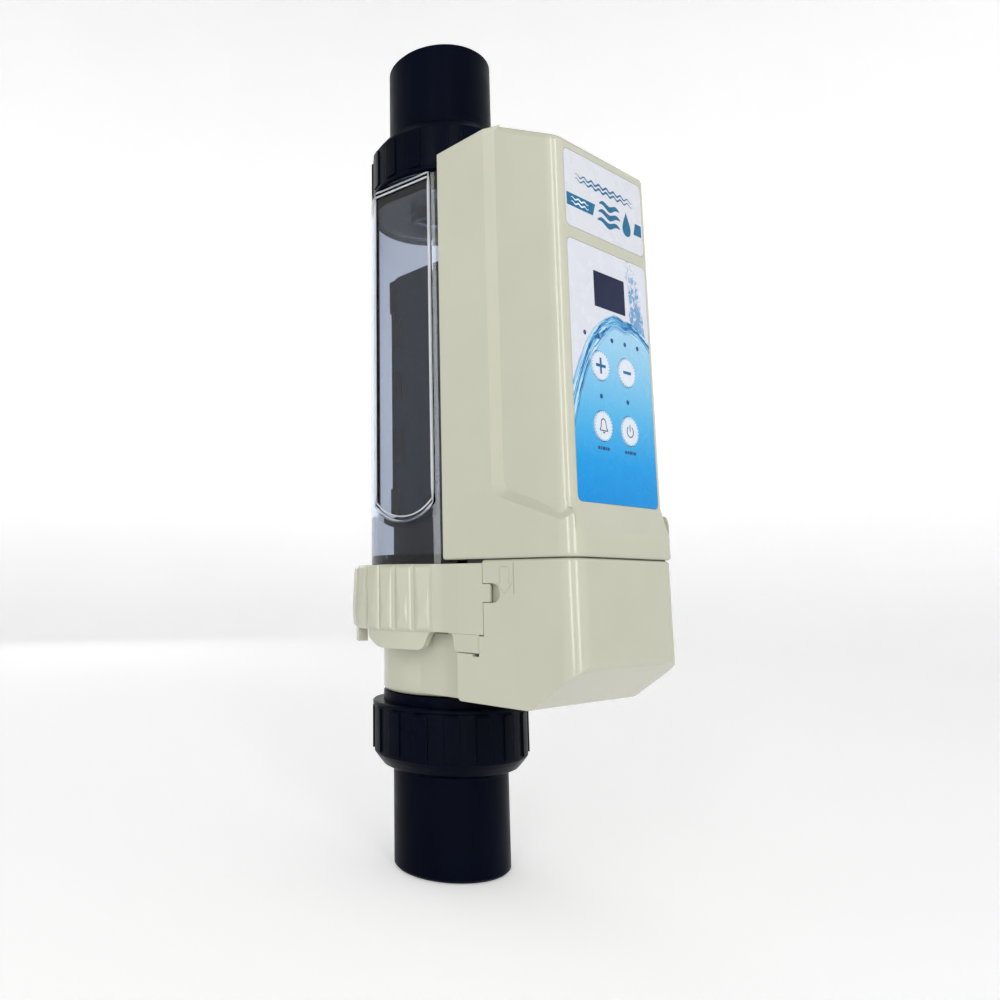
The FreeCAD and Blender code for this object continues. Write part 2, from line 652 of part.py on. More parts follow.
def lower_hollow():
    """Space inside the lower housing: full width in front, narrower between the collar's cheeks."""
    top = PARTING_Z + 10
    inner_w = LOWER_HALF_W - WALL
    split_y = SLOT_END_Y - 5.0
    front = slab_x(lower_side_profile(WALL), [2, 4, 4, 0, 0], -inner_w, inner_w)
    plan = rect(-inner_w, inner_w, LOWER_FRONT_Y + WALL, split_y)
    front = front.common(slab_z(plan, [CORNER_R - WALL, CORNER_R - WALL, 0, 0], LOWER_Z0, top))
    rear = box(-REAR_INNER_W, REAR_INNER_W, split_y - 0.1, REAR_WALL_Y[0], LOWER_Z0 + WALL, top)
    return front.fuse(rear)


def collar_recesses():
    """What the collar needs on the +X side: its seat, the pocket and drain slot of its tab, the tongue slot."""
    seat_y = COLLAR_FRONT_Y - GAP
    tab_y = CHEEK_TAB_Y - GAP
    tongue_z0 = TONGUE_Z - TONGUE_H / 2 - GAP
    tongue_z1 = TONGUE_Z + TONGUE_H / 2 + GAP
    return [box(REAR_HALF_W, 60, seat_y, -20.0, COLLAR_Z0 - 0.5, 170),
            box(REAR_HALF_W, 60, tab_y, -20.0, CHEEK_TAB_Z - GAP, COLLAR_Z0),
            box(REAR_HALF_W - 3.5, 60, tab_y, tab_y + DRAIN_LENGTH, CHEEK_TAB_Z - DRAIN_HEIGHT, CHEEK_TAB_Z),
            box(REAR_HALF_W, 60, SLOT_END_Y, seat_y + 1.0, tongue_z0, tongue_z1),
            xcyl((tongue_z1 - tongue_z0) / 2, REAR_HALF_W, 60, SLOT_END_Y, TONGUE_Z)]


def lock_arrow():
    """Raised arrow beside the tongue slot that points down, the way the collar is locked."""
    y0, y1 = ARROW_Y
    tip, tail = ARROW_Z
    barb = tip + 4.7
    points = [(y0, tail), (y0, barb), (y0 - 1.9, barb), ((y0 + y1) / 2, tip), (y1 + 1.9, barb), (y1, barb),
              (y1, tail)]
    return slab_x(points, 0.2, LOWER_HALF_W - 1, LOWER_HALF_W + 0.35)


def cover_register(top):
    """Tongue behind the front wall that locates the cover."""
    y0 = LOWER_FRONT_Y + WALL - 0.1
    y1 = PANEL_Y + WALL + 0.4
    return fuse([box(-20.0, 20.0, y0, y1 + 2.0, top - 7.0, top), box(-20.0, 20.0, y1, y1 + 2.0, top - 1.0, top + 6.0)])


def housing_openings(top):
    """Everything cut from the lower housing after its walls: room for the cell, switch, studs and screws."""
    seat_y = COLLAR_FRONT_Y - GAP
    tools = [box(-60, 60, REAR_WALL_Y[1], 60, NECK_Z1, 170),
             box(-60, 60, seat_y, 60, REAR_TOP_Z, 170),
             cyl(SHAFT_R + 0.2, NECK_Z0 - 1, NECK_Z1 + 1),
             box(-12.0, 12.0, REAR_WALL_Y[0] - 0.5, -28.0, SWITCH_Z - 12.0, SWITCH_Z + 12.0),
             box(-16.0, 16.0, REAR_WALL_Y[0] - 1.0, -44.0, BOSS_Z[0] - 0.7, 170),
             xcyl(GLAND_R, 30, 60, GLAND_Y, GLAND_Z)]
    for sx in (-1, 1):
        tools.append(cyl(SCREW_HEAD_R + 0.2, LOWER_Z0 - 5, SCREW_HEAD_Z, sx * POST_X, POST_Y))
        tools.append(cyl(SCREW_R + 0.2, SCREW_HEAD_Z - 1, top + 1, sx * POST_X, POST_Y))
    for tool in collar_recesses():
        tools += both_sides(tool)
    groove_y = ARROW_Y[0] - 2.7
    tools += both_sides(box(LOWER_HALF_W - 0.25, 60, groove_y - 0.2, groove_y + 0.2, ARROW_Z[0], 160))
    return tools


def lower_housing():
    top = PARTING_Z - SEAL_T
    shell = lower_shell()
    neck = cyl(NECK_R, NECK_Z0, NECK_Z1)
    neck = neck.makeFillet(2.5, edges_near(neck, lambda b: b.ZMax < NECK_Z0 + 0.1))
    web = box(-33.0, 33.0, LOWER_REAR_Y - 1, -5.0, LOWER_Z0, NECK_Z1)
    posts = group([cyl(POST_R, LOWER_Z0 + 0.5, top, sx * POST_X, POST_Y) for sx in (-1, 1)])
    body = shell.multiFuse([web, neck]).cut(lower_hollow())
    body = body.multiFuse(posts.common(shell).Solids + [cover_register(top)])
    for tool in housing_openings(top):
        body = body.cut(tool)
    return body.multiFuse(both_sides(lock_arrow())).removeSplitter()


def gland_hexagon(across):
    """Hexagon (y, z) round the gland's axis, with flats towards the posts beside it."""
    radius = across / math.sqrt(3)
    angles = [math.radians(30 + 60 * i) for i in range(6)]
    return [(GLAND_Y + radius * math.cos(a), GLAND_Z + radius * math.sin(a)) for a in angles]


def mains_gland():
    """Cable gland in the right wall; its bore takes the supply cord."""
    x0 = LOWER_HALF_W
    cap_x = x0 + 6.5
    dome_x = x0 + 15.0
    thread = xcyl(GLAND_R - 0.1, x0 - 11.0, x0 + 1, GLAND_Y, GLAND_Z)
    body = slab_x(gland_hexagon(GLAND_ACROSS), 0.8, x0 + 0.1, cap_x - 0.5)
    cap = xcyl(GLAND_CAP_R, cap_x, dome_x, GLAND_Y, GLAND_Z)
    waist = xcyl(GLAND_R, cap_x - 1.0, cap_x + 0.5, GLAND_Y, GLAND_Z)
    dome = Part.makeCone(GLAND_CAP_R, 5.6, 5.0, V(dome_x, GLAND_Y, GLAND_Z), V(1, 0, 0))
    solid = fuse([thread, body, waist, cap, dome])
    groove_at = GLAND_CAP_R + 0.4
    for i in range(GLAND_RIBS):
        angle = 2 * math.pi * i / GLAND_RIBS
        solid = solid.cut(xcyl(0.9, cap_x + 1.0, dome_x + 5.5, GLAND_Y + groove_at * math.cos(angle),
                               GLAND_Z + groove_at * math.sin(angle)))
    return solid.cut(xcyl(3.6, x0 - 12, x0 + 25, GLAND_Y, GLAND_Z))


def gland_lock_nut():
    x1 = LOWER_HALF_W - WALL - 0.05
    nut = slab_x(gland_hexagon(GLAND_ACROSS), 0.8, x1 - 5.0, x1)
    return nut.cut(xcyl(GLAND_R - 0.05, x1 - 6, x1 + 1, GLAND_Y, GLAND_Z))


# ---- control casing -------------------------------------------------------------------------------
def cover_profile(offset):
    """Side outline (y, z) of the inset upper cover, moved inwards by offset."""
    return [(COVER_REAR_Y, PARTING_Z - 5), (PANEL_Y + offset, PARTING_Z - 5),
            (PANEL_Y + offset, COVER_FRONT_TOP_Z - 0.75 * offset), (COVER_SLOPE_Y, COVER_TOP_Z - offset),
            (COVER_REAR_Y, COVER_TOP_Z - offset)]


def frame_side():
    """Side wall of the frame on +X: its outer face slopes down to the panel along a bent ramp."""
    x0, x1 = COVER_HALF_W - RAMP_DEPTH, COVER_HALF_W
    slope = math.hypot(1, SKIRT_RISE)
    upright = slab_z([(x0, COVER_REAR_Y), (x0, FRAME_Y - RAMP_WIDTH), (x1, FRAME_Y), (x1, COVER_REAR_Y)], 0,
                     PARTING_Z, COVER_TOP_Z)
    foot = [V(x0, SKIRT_Y, 100), V(x1, SKIRT_Y, 100), V(x1, SKIRT_Y, SKIRT_CREST_Z),
            V(x0, SKIRT_Y, SKIRT_CREST_Z + RAMP_WIDTH * 0.75 * slope)]
    reach = COVER_REAR_Y - SKIRT_Y
    rising = Part.Face(Part.makePolygon(foot + foot[:1])).extrude(V(0, reach, SKIRT_RISE * reach))
    rising = rising.common(box(x0, x1, SKIRT_Y, COVER_REAR_Y, PARTING_Z, COVER_TOP_Z))
    side = upright.fuse(rising).removeSplitter()
    bend = edges_near(side, lambda b: b.XLength > RAMP_DEPTH - 0.1 and b.YLength > 3 and b.ZLength > 1
                      and b.ZMin > SKIRT_CREST_Z + 2 and b.YMax < COVER_REAR_Y - 5)
    return side.makeFillet(RAMP_BEND, bend)


def skirt():
    """Band across the foot of the cover; its shoulder runs in from the skirt's outline to the panel's."""
    skirt_radii = [SKIRT_CORNER_R, SKIRT_CORNER_R, 0, 0]
    panel_radii = [PANEL_CORNER_R, PANEL_CORNER_R, 0, 0]
    z0, z1 = SHOULDER_Z
    plan = rect(-COVER_HALF_W, COVER_HALF_W, SKIRT_Y, COVER_REAR_Y)
    panel_plan = rect(-PANEL_HALF_W, PANEL_HALF_W, PANEL_Y, COVER_REAR_Y)
    band = slab_z(plan, skirt_radii, PARTING_Z, z0)
    shoulder = Part.makeLoft([outline(plan, skirt_radii, lambda p: V(p.x, p.y, z0)),
                              outline(panel_plan, panel_radii, lambda p: V(p.x, p.y, z1))], True, True)
    body = band.fuse(shoulder).removeSplitter()
    bend = edges_near(body, lambda b: abs(b.ZMin - z0) < 0.1 and b.ZLength < 0.1 and b.YMin < COVER_REAR_Y - 1)
    return body.makeFillet(SHOULDER_R, bend)


def cover_outer():
    """The inset panel box, the skirt across its foot and the wider frame beside the cell."""
    panel_plan = rect(-PANEL_HALF_W, PANEL_HALF_W, PANEL_Y, COVER_REAR_Y)
    panel = slab_z(panel_plan, [PANEL_CORNER_R, PANEL_CORNER_R, 0, 0], PARTING_Z, COVER_TOP_Z + 1)
    panel = panel.common(slab_x(cover_profile(0), 0, -60, 60))
    top_edges = edges_near(panel, lambda b: b.ZMax > COVER_FRONT_TOP_Z - 1 and b.ZMin > COVER_FRONT_TOP_Z - 3
                           and b.YMin < COVER_REAR_Y - 0.5)
    panel = panel.makeFillet(3.2, top_edges)
    plan = slab_z(rect(-COVER_HALF_W, COVER_HALF_W, SKIRT_Y, COVER_REAR_Y),
                  [SKIRT_CORNER_R, SKIRT_CORNER_R, 0, 0], PARTING_Z, COVER_TOP_Z)
    shoulder_y = PANEL_Y + 0.6
    front = slab_x([(COVER_REAR_Y, PARTING_Z), (SKIRT_Y, PARTING_Z), (SKIRT_Y, SHOULDER_Z[0]),
                    (shoulder_y, SHOULDER_Z[1]), (shoulder_y, COVER_TOP_Z), (COVER_REAR_Y, COVER_TOP_Z)],
                   [0, 0, SHOULDER_R, 0, 0, 0], -60, 60)
    sides = [side.common(plan).common(front) for side in both_sides(frame_side())]
    frame = fuse([skirt()] + sides)
    rim = edges_near(frame, lambda b: b.ZMax < PARTING_Z + 0.1 and b.YMin < COVER_REAR_Y - 3)
    return panel.fuse(frame.makeFillet(EDGE_R, rim))


def cover_hollow():
    """Space inside the cover, open at the back."""
    inner_half = PANEL_HALF_W - WALL
    points = cover_profile(WALL)
    points[0] = (COVER_REAR_Y + 5, points[0][1])
    points[-1] = (COVER_REAR_Y + 5, points[-1][1])
    hollow = slab_z(rect(-inner_half, inner_half, PANEL_Y + WALL, COVER_REAR_Y + 5), [5, 5, 0, 0],
                    PARTING_Z - 5, COVER_TOP_Z)
    return hollow.common(slab_x(points, 0, -60, 60))


def cover_posts():
    """Posts for the housing screws, the back-plate screws and the control board."""
    posts = []
    for sx in (-1, 1):
        x0, x1 = sorted((sx * POST_X, sx * (PANEL_HALF_W - 0.3)))
        posts.append(cyl(POST_R, PARTING_Z, PARTING_Z + POST_H, sx * POST_X, POST_Y))
        posts.append(box(x0, x1, POST_Y - 1.2, POST_Y + 1.2, PARTING_Z, PARTING_Z + POST_H))
        posts += [ycyl(3.6, -64.0, BACK_Y0 - 0.1, sx * BACK_SCREW_X, z) for z in BACK_SCREW_Z]
        posts += [ycyl(2.6, PANEL_Y + WALL, CONTROL_BOARD_Y - 0.05, sx * CONTROL_POST_X, z) for z in CONTROL_POST_Z]
    return posts


def cover_openings():
    """Recess for the back plate, trough for the cell, screw bores, label recesses and panel openings."""
    half = BACK_HALF_W + 0.1
    tools = [box(-half, half, BACK_Y0 - 0.1, 0, PARTING_Z - 1, BACK_TOP_Z + 0.1),
             cyl(TROUGH_R, PARTING_Z - 1, COVER_TOP_Z + 1)]
    for sx in (-1, 1):
        tools.append(cyl(SCREW_R, PARTING_Z - 1, PARTING_Z + POST_H - 2, sx * POST_X, POST_Y))
        tools += [ycyl(SCREW_R, -60.0, 0, sx * BACK_SCREW_X, z) for z in BACK_SCREW_Z]
    half = LABEL_HALF_W + 0.15
    for z0, z1 in (NAME_Z, KEYPAD_Z):
        tools.append(slab_y(rect(-half, half, z0 - 0.15, z1 + 0.15), 3.0, PANEL_Y - 5, PANEL_Y + OVERLAY_T))
    half = DISPLAY_HALF_W - 1
    through = PANEL_Y + 5
    tools.append(box(-half, half, -120, through, DISPLAY_Z[0] + 1, DISPLAY_Z[1] - 1))
    tools += [ycyl(BUTTON_R + GAP, -120, through, x, z) for x, z in button_places()]
    tools += [ycyl(LED_R + 0.3, -120, through, x, z) for x, z in led_places()]
    return tools


def control_cover():
    """Front shell of the control casing: an inset panel inside a wider frame."""
    shell = cover_outer().cut(cover_hollow()).multiFuse(cover_posts())
    for tool in cover_openings():
        shell = shell.cut(tool)
    return shell.removeSplitter()


def control_back_plate():
    """Rear wall of the casing, with a trough that the clear cell nests in."""
    plate_body = box(-BACK_HALF_W, BACK_HALF_W, BACK_Y0, BACK_Y1, PARTING_Z, BACK_TOP_Z)
    trough = cyl(TROUGH_R + 2.2, PARTING_Z, BACK_TOP_Z).common(box(-34, 34, -60, BACK_Y1, 0, 400))
    floor_half = PANEL_HALF_W - WALL - 0.2
    floor = box(-floor_half, floor_half, -52.0, BACK_Y1, PARTING_Z, PARTING_Z + 2.0)
    body = fuse([plate_body, trough, floor])
    body = body.cut(cyl(TROUGH_R, PARTING_Z - 1, BACK_TOP_Z + 1))
    for sx in (-1, 1):
        for z in BACK_SCREW_Z:
            body = body.cut(ycyl(SCREW_R + 0.2, -60, 0, sx * BACK_SCREW_X, z))
            body = body.cut(ycyl(SCREW_HEAD_R + 0.2, BACK_Y0 + 1.2, 0, sx * BACK_SCREW_X, z))
        for z in STANDOFF_Z:
            body = body.cut(ycyl(1.2, -60, BACK_Y0 + 1.4, sx * STANDOFF_X, z))
    return body.removeSplitter()


def screw_y(x, head_y, length, z):
    """Pan-head screw along Y; its head looks towards +Y."""
    head = ycyl(SCREW_HEAD_R, head_y, head_y + 1.0, x, z)
    shank = ycyl(SCREW_R - 0.02, head_y - length, head_y, x, z)
    slot = box(x - 0.4, x + 0.4, head_y + 0.5, head_y + 2, z - 2.2, z + 2.2)
    cross = box(x - 2.2, x + 2.2, head_y + 0.5, head_y + 2, z - 0.4, z + 0.4)
    return head.fuse(shank).cut(slot).cut(cross)


def cover_screws():
    return group([screw_y(sx * BACK_SCREW_X, BACK_Y0 + 1.25, 18.0, z) for sx in (-1, 1) for z in BACK_SCREW_Z])


def housing_screws():
    screws = []
    for sx in (-1, 1):
        x = sx * POST_X
        head = cyl(SCREW_HEAD_R, SCREW_HEAD_Z - 2.4, SCREW_HEAD_Z - 0.1, x, POST_Y)
        shank = cyl(SCREW_R - 0.02, SCREW_HEAD_Z - 0.1, SCREW_HEAD_Z + 21.0, x, POST_Y)
        slot = box(x - 2.2, x + 2.2, POST_Y - 0.4, POST_Y + 0.4, SCREW_HEAD_Z - 5.0, SCREW_HEAD_Z - 1.6)
        screws.append(head.fuse(shank).cut(slot))
    return group(screws)


def casing_gasket():
    """Rubber seal in the joint: a thin ring in front, and a tall lip on the walls behind the collar's front."""
    z0, z1 = PARTING_Z - SEAL_T, PARTING_Z
    half = LOWER_HALF_W - EDGE_R
    inner_half = LOWER_HALF_W - WALL
    step_y = COLLAR_FRONT_Y - GAP
    ring = slab_z(rect(-half, half, LOWER_FRONT_Y + EDGE_R, step_y), [CORNER_R - EDGE_R, CORNER_R - EDGE_R, 0, 0],
                  z0, z1)
    hole = slab_z(rect(-inner_half, inner_half, LOWER_FRONT_Y + WALL, step_y - 2.0),
                  [CORNER_R - WALL, CORNER_R - WALL, 0, 0], z0 - 1, z1 + 1)
    strip = box(-REAR_HALF_W, REAR_HALF_W, step_y - 1.0, REAR_WALL_Y[1], z0, z1)
    lip = box(-REAR_HALF_W, REAR_HALF_W, step_y + FIT, REAR_WALL_Y[1], REAR_TOP_Z, z1)
    room = box(-REAR_INNER_W, REAR_INNER_W, step_y - 3.0, REAR_WALL_Y[0], REAR_TOP_Z - 1, z1 + 1)
    return fuse([ring.cut(hole), strip, lip]).cut(room)


def button_places():
    return [(sx * GRID_X, z) for z in BUTTON_Z for sx in (-1, 1)]


def led_places():
    upper = [(i * GRID_X, LED_Z[0]) for i in (-2, -1, 0, 1, 2)]
    return upper + [(sx * GRID_X, LED_Z[1]) for sx in (-1, 1)]


def name_label():
    return slab_y(rect(-LABEL_HALF_W, LABEL_HALF_W, *NAME_Z), 3.0, PANEL_Y, PANEL_Y + OVERLAY_T - 0.05)


def keypad_overlay():
    sheet = slab_y(rect(-LABEL_HALF_W, LABEL_HALF_W, *KEYPAD_Z), 3.0, PANEL_Y, PANEL_Y + OVERLAY_T - 0.05)
    sheet = sheet.cut(box(-DISPLAY_HALF_W, DISPLAY_HALF_W, -120, 0, *DISPLAY_Z))
    for x, z in button_places():
        sheet = sheet.cut(ycyl(BUTTON_R + GAP, -120, 0, x, z))
    for x, z in led_places():
        sheet = sheet.cut(ycyl(LED_R + 0.1, -120, 0, x, z))
    return sheet


def display_window():
    half = DISPLAY_HALF_W - 0.05
    pane = slab_y(rect(-half, half, DISPLAY_Z[0] + 0.05, DISPLAY_Z[1] - 0.05), 0.6, PANEL_Y, PANEL_Y + OVERLAY_T - 0.05)
    inner = half - 1.2
    step = box(-inner, inner, PANEL_Y + 0.2, PANEL_Y + WALL + 0.2, DISPLAY_Z[0] + 1.2, DISPLAY_Z[1] - 1.2)
    return fuse([pane, step])


def display_module():
    return box(-14.0, 14.0, PANEL_Y + WALL + 0.3, CONTROL_BOARD_Y - 0.05, DISPLAY_Z[0] - 1.5, DISPLAY_Z[1] + 1.5)


def control_board():
    board = slab_y(rect(-34.0, 34.0, *CONTROL_BOARD_Z), 2.0, CONTROL_BOARD_Y, CONTROL_BOARD_Y + BOARD_T)
    for sx in (-1, 1):
        for z in CONTROL_POST_Z:
            board = board.cut(ycyl(1.3, -100, -90, sx * CONTROL_POST_X, z))
    return board


def board_chips():
    """Controller chip and small packages on the rear of the control board."""
    y0 = CONTROL_BOARD_Y + BOARD_T
    chips = [box(-8, 8, y0, y0 + 2.4, 225.0, 241.0), box(14, 22, y0, y0 + 2.0, 226.0, 236.0),
             box(-24, -16, y0, y0 + 2.0, 226.0, 236.0), box(-8, 8, y0, y0 + 5.0, 202.0, 208.0)]
    return group(chips)


def status_leds():
    return group([ycyl(LED_R, PANEL_Y + 0.05, CONTROL_BOARD_Y - 0.05, x, z) for x, z in led_places()])


def tact_switches():
    switches = []
    for x, z in button_places():
        base = box(x - 3.0, x + 3.0, CONTROL_BOARD_Y - 3.6, CONTROL_BOARD_Y - 0.05, z - 3.0, z + 3.0)
        plunger = ycyl(1.7, CONTROL_BOARD_Y - SWITCH_TOP, CONTROL_BOARD_Y - 3.5, x, z)
        switches.append(base.fuse(plunger))
    return group(switches)


def button(x, z):
    """Key cap that fills its hole in the overlay, with a flange and a stem behind the panel."""
    back_y = PANEL_Y + WALL
    cap = ycyl(BUTTON_R, PANEL_Y - 0.4, back_y + 0.2, x, z)
    flange = ycyl(BUTTON_R + 1.2, back_y + 0.1, back_y + 1.1, x, z)
    stem = ycyl(2.6, back_y + 1.0, CONTROL_BOARD_Y - SWITCH_TOP - BUTTON_TRAVEL - 0.15, x, z)
    return fuse([cap, flange, stem])


# ---- power electronics ----------------------------------------------------------------------------
def power_board():
    board = slab_y(rect(-34.8, 34.8, *POWER_BOARD_Z), 2.0, POWER_BOARD_Y, POWER_BOARD_Y + BOARD_T)
    for sx in (-1, 1):
        for z in STANDOFF_Z:
            board = board.cut(ycyl(1.2, -60, -40, sx * STANDOFF_X, z))
        for z in BACK_SCREW_Z:
            board = board.cut(ycyl(4.8, -60, -40, sx * (BACK_SCREW_X + 1.0), z))
    return board


def board_standoffs():
    posts = []
    for sx in (-1, 1):
        for z in STANDOFF_Z:
            post = ycyl(2.5, POWER_BOARD_Y + BOARD_T, BACK_Y0, sx * STANDOFF_X, z)
            pin = ycyl(1.15, POWER_BOARD_Y - 0.8, BACK_Y0 + 1.3, sx * STANDOFF_X, z)
            posts.append(post.fuse(pin))
    return group(posts)


def transformer_coil():
    y1 = POWER_FACE_Y
    wound = slab_z(rect(-17.0, 17.0, y1 - 33.0, y1 - 1.0), 5.0, CORE_Z[0] + 9.0, CORE_Z[1] - 9.0)
    return wound.cut(box(-8.05, 8.05, y1 - 24.05, y1 - 9.95, 190, 260))


def transformer_core():
    y1 = POWER_FACE_Y
    frame = box(-28.0, 28.0, y1 - 24.0, y1 - 10.0, *CORE_Z)
    for side in (-1, 1):
        x0, x1 = sorted((side * 8.0, side * 20.0))
        frame = frame.cut(box(x0, x1, -120, 0, CORE_Z[0] + 8.0, CORE_Z[1] - 8.0))
    return frame


def heat_sink():
    """Finned heat sink on the power board."""
    y1 = POWER_FACE_Y
    half = 30.0
    fins = [box(-half, half, y1 - 4.0, y1, *HEAT_SINK_Z)]
    pitch = (2 * half - 2.4) / (HEAT_SINK_FINS - 1)
    for i in range(HEAT_SINK_FINS):
        x = (i - (HEAT_SINK_FINS - 1) / 2) * pitch
        fins.append(box(x - 0.8, x + 0.8, y1 - 26.0, y1 - 3.5, *HEAT_SINK_Z))
    return fuse(fins)


def capacitors():
    y1 = POWER_FACE_Y
    cans = []
    for x, z, r, length in ((-22.0, 272.0, 8.0, 26.0), (-2.0, 272.0, 8.0, 26.0), (15.0, 268.0, 5.0, 16.0)):
        can = ycyl(r, y1 - length, y1, x, z)
        groove = ycyl(r + 1, y1 - 5.0, y1 - 4.0, x, z).cut(ycyl(r - 0.5, y1 - 6.0, y1 - 3.0, x, z))
        cans.append(can.cut(groove))
    return group(cans)


def relay():
    y1 = POWER_FACE_Y
    return slab_z(rect(20.5, 28.4, y1 - 16.0, y1), 1.0, 258.0, 284.0)


def terminal_block():
    y1 = POWER_FACE_Y
    block = box(-22.0, 22.0, y1 - 12.0, y1, *TERMINAL_Z)
    for i in range(4):
        x = -16.5 + i * 11.0
        block = block.cut(ycyl(2.4, y1 - 13.0, y1 - 5.0, x, 183.0))
        block = block.cut(cyl(1.9, 170.0, 181.5, x, y1 - 6.5))
    return block


def electrode_leads():
    """Two insulated leads from the terminal block down to the electrode studs."""
    wires = []
    for side in (-1, 1):
        x_top = side * 5.5
        x = side * STUD_X
        y_top = POWER_FACE_Y - 6.5
        path = [V(x_top, y_top, 181.0), V(x_top, y_top, 171.0), V(x, LUG_Y, 163.0), V(x, LUG_Y, 152.2)]
        wire = lead(path, 5.0, 1.4)
        lug = ycyl(5.0, LUG_Y - 0.6, LUG_Y + 0.6, x, STUD_Z)
        lug = lug.fuse(box(x - 2.5, x + 2.5, LUG_Y - 0.6, LUG_Y + 0.6, STUD_Z, STUD_Z + 10.0))
        lug = lug.cut(ycyl(STUD_R + FIT, -70, -55, x, STUD_Z))
        wires.append(wire.fuse(lug))
    return group(wires)


def ribbon_cable():
    """Flat ribbon between the two boards."""
    y_front = CONTROL_BOARD_Y + BOARD_T + 5.0
    route = [(y_front, 204.0), (y_front + 8.0, 204.0), (y_front + 14.0, 192.0), (-71.0, 192.0), (-71.0, 191.2),
             (y_front + 13.6, 191.2), (y_front + 7.6, 203.2), (y_front, 203.2)]
    return slab_x(route, 0, -7.0, 7.0)


def plate_group(start):
    """Every second plate: the anodes start at the first plate, the cathodes at the second."""
    return group([plate(x) for x in plate_x()[start::2]])


def main():
    os.makedirs("parts", exist_ok=True)
    write("inlet_tailpiece", tailpiece())
    write("inlet_union_nut", union_nut())
    write("inlet_o_ring", union_ring())
    write("outlet_tailpiece", flip(tailpiece()))
    write("outlet_union_nut", flip(union_nut()))
    write("outlet_o_ring", flip(union_ring()))
    write("cell_housing", cell_housing())
    write("cell_base_o_ring", cell_base_ring())
    write("electrode_head", electrode_head())
    write("anode_plates", plate_group(0))
    write("cathode_plates", plate_group(1))
    write("plate_combs", plate_combs())
    write("plate_busbars", busbars())
    write("electrode_studs", electrode_studs())
    write("stud_nuts", stud_nuts())
    write("clamp_collar", clamp_collar())
    write("inlet_spigot", inlet_spigot())
    write("flow_manifold", flow_manifold())
    write("flow_switch_body", flow_switch_body())
    write("flow_paddle", flow_paddle())
    write("paddle_pin", paddle_pin())
    write("lower_housing", lower_housing())
    write("mains_gland", mains_gland())
    write("gland_lock_nut", gland_lock_nut())
    write("control_cover", control_cover())
    write("control_back_plate", control_back_plate())
    write("cover_screws", cover_screws())
    write("housing_screws", housing_screws())
    write("casing_gasket", casing_gasket())
    write("name_label", name_label())
    write("keypad_overlay", keypad_overlay())
    write("display_window", display_window())
    write("display_module", display_module())
    write("control_board", control_board())
    write("board_chips", board_chips())
    write("status_leds", status_leds())
    write("tact_switches", tact_switches())
    for name, (x, z) in zip(BUTTON_NAMES, button_places()):
        write(name, button(x, z))
    write("power_board", power_board())
    write("board_standoffs", board_standoffs())
    write("transformer_core", transformer_core())
    write("transformer_coil", transformer_coil())
    write("heat_sink", heat_sink())
    write("capacitors", capacitors())
    write("relay", relay())
    write("terminal_block", terminal_block())
    write("electrode_leads", electrode_leads())
    write("ribbon_cable", ribbon_cable())


main()
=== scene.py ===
import json
import math

import bmesh
import bpy
from mathutils import Matrix, Vector


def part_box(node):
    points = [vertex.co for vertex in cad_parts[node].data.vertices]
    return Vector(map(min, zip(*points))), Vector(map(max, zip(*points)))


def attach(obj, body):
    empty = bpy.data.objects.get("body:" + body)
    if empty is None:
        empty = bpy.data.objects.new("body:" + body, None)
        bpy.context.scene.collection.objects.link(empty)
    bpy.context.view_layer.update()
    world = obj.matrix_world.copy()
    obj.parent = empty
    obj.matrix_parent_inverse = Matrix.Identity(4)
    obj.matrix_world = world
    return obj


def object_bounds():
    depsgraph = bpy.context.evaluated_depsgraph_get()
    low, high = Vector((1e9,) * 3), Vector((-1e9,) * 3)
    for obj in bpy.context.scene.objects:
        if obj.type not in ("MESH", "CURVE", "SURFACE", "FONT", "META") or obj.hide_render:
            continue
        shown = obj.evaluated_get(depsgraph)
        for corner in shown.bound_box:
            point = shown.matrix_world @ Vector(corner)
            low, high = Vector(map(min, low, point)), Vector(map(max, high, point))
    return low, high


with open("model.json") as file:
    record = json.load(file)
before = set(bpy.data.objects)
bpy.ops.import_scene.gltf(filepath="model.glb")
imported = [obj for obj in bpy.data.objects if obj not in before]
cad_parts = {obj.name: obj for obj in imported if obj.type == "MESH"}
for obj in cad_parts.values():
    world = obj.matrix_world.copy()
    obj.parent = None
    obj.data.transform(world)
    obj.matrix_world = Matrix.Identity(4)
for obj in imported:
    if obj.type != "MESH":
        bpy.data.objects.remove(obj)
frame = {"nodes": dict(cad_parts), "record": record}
cad_low, cad_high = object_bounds()

MM = 0.001

# lowest corners of the keypad's film and of the name label
overlay_low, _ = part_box("keypad_overlay")
name_low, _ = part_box("name_label")

# keypad print, in millimetres
FILM_FOOT = overlay_low[2] / MM
WAVE_CREST_X = 5.0
WAVE_CREST_Z = FILM_FOOT + 89.5
WAVE_FALL = 0.0112                  # how fast the water line falls away from its crest
WAVE_EXTRA_FALL_LEFT = 0.0160
WAVE_WOBBLE = 6.0
WAVE_THICKNESS = 6.3                # at the middle; thicker to the left
WAVE_TAPER = 0.075
POOL_Z = (FILM_FOOT + 2.0, FILM_FOOT + 87.0)
SPLASH_X = 22.0
SPLASH_LEAN = 0.12
SPLASH_Z = (FILM_FOOT + 83.0, FILM_FOOT + 121.0)
SPLASH_HALF_W = (3.5, 11.0)

# raised ink
INK_T = 0.03 * MM
PLUS_ARM = 3.8 * MM
MINUS_ARM = 3.2 * MM
STROKE_HALF = 0.72 * MM             # plus and minus
LINE_HALF = 0.28 * MM               # bell and power
KEY_DASHES = 26
KEY_DASH_R = (6.25 * MM, 6.8 * MM)
CAPTION_Z = (-10.9 * MM, -9.5 * MM)     # below the middle of a key
CAPTION_HALF_W = 4.4 * MM
CAPTION_BARS = (1.5, 1.1, 1.9, 0.9, 1.4)
CAPTION_GAP = 0.5

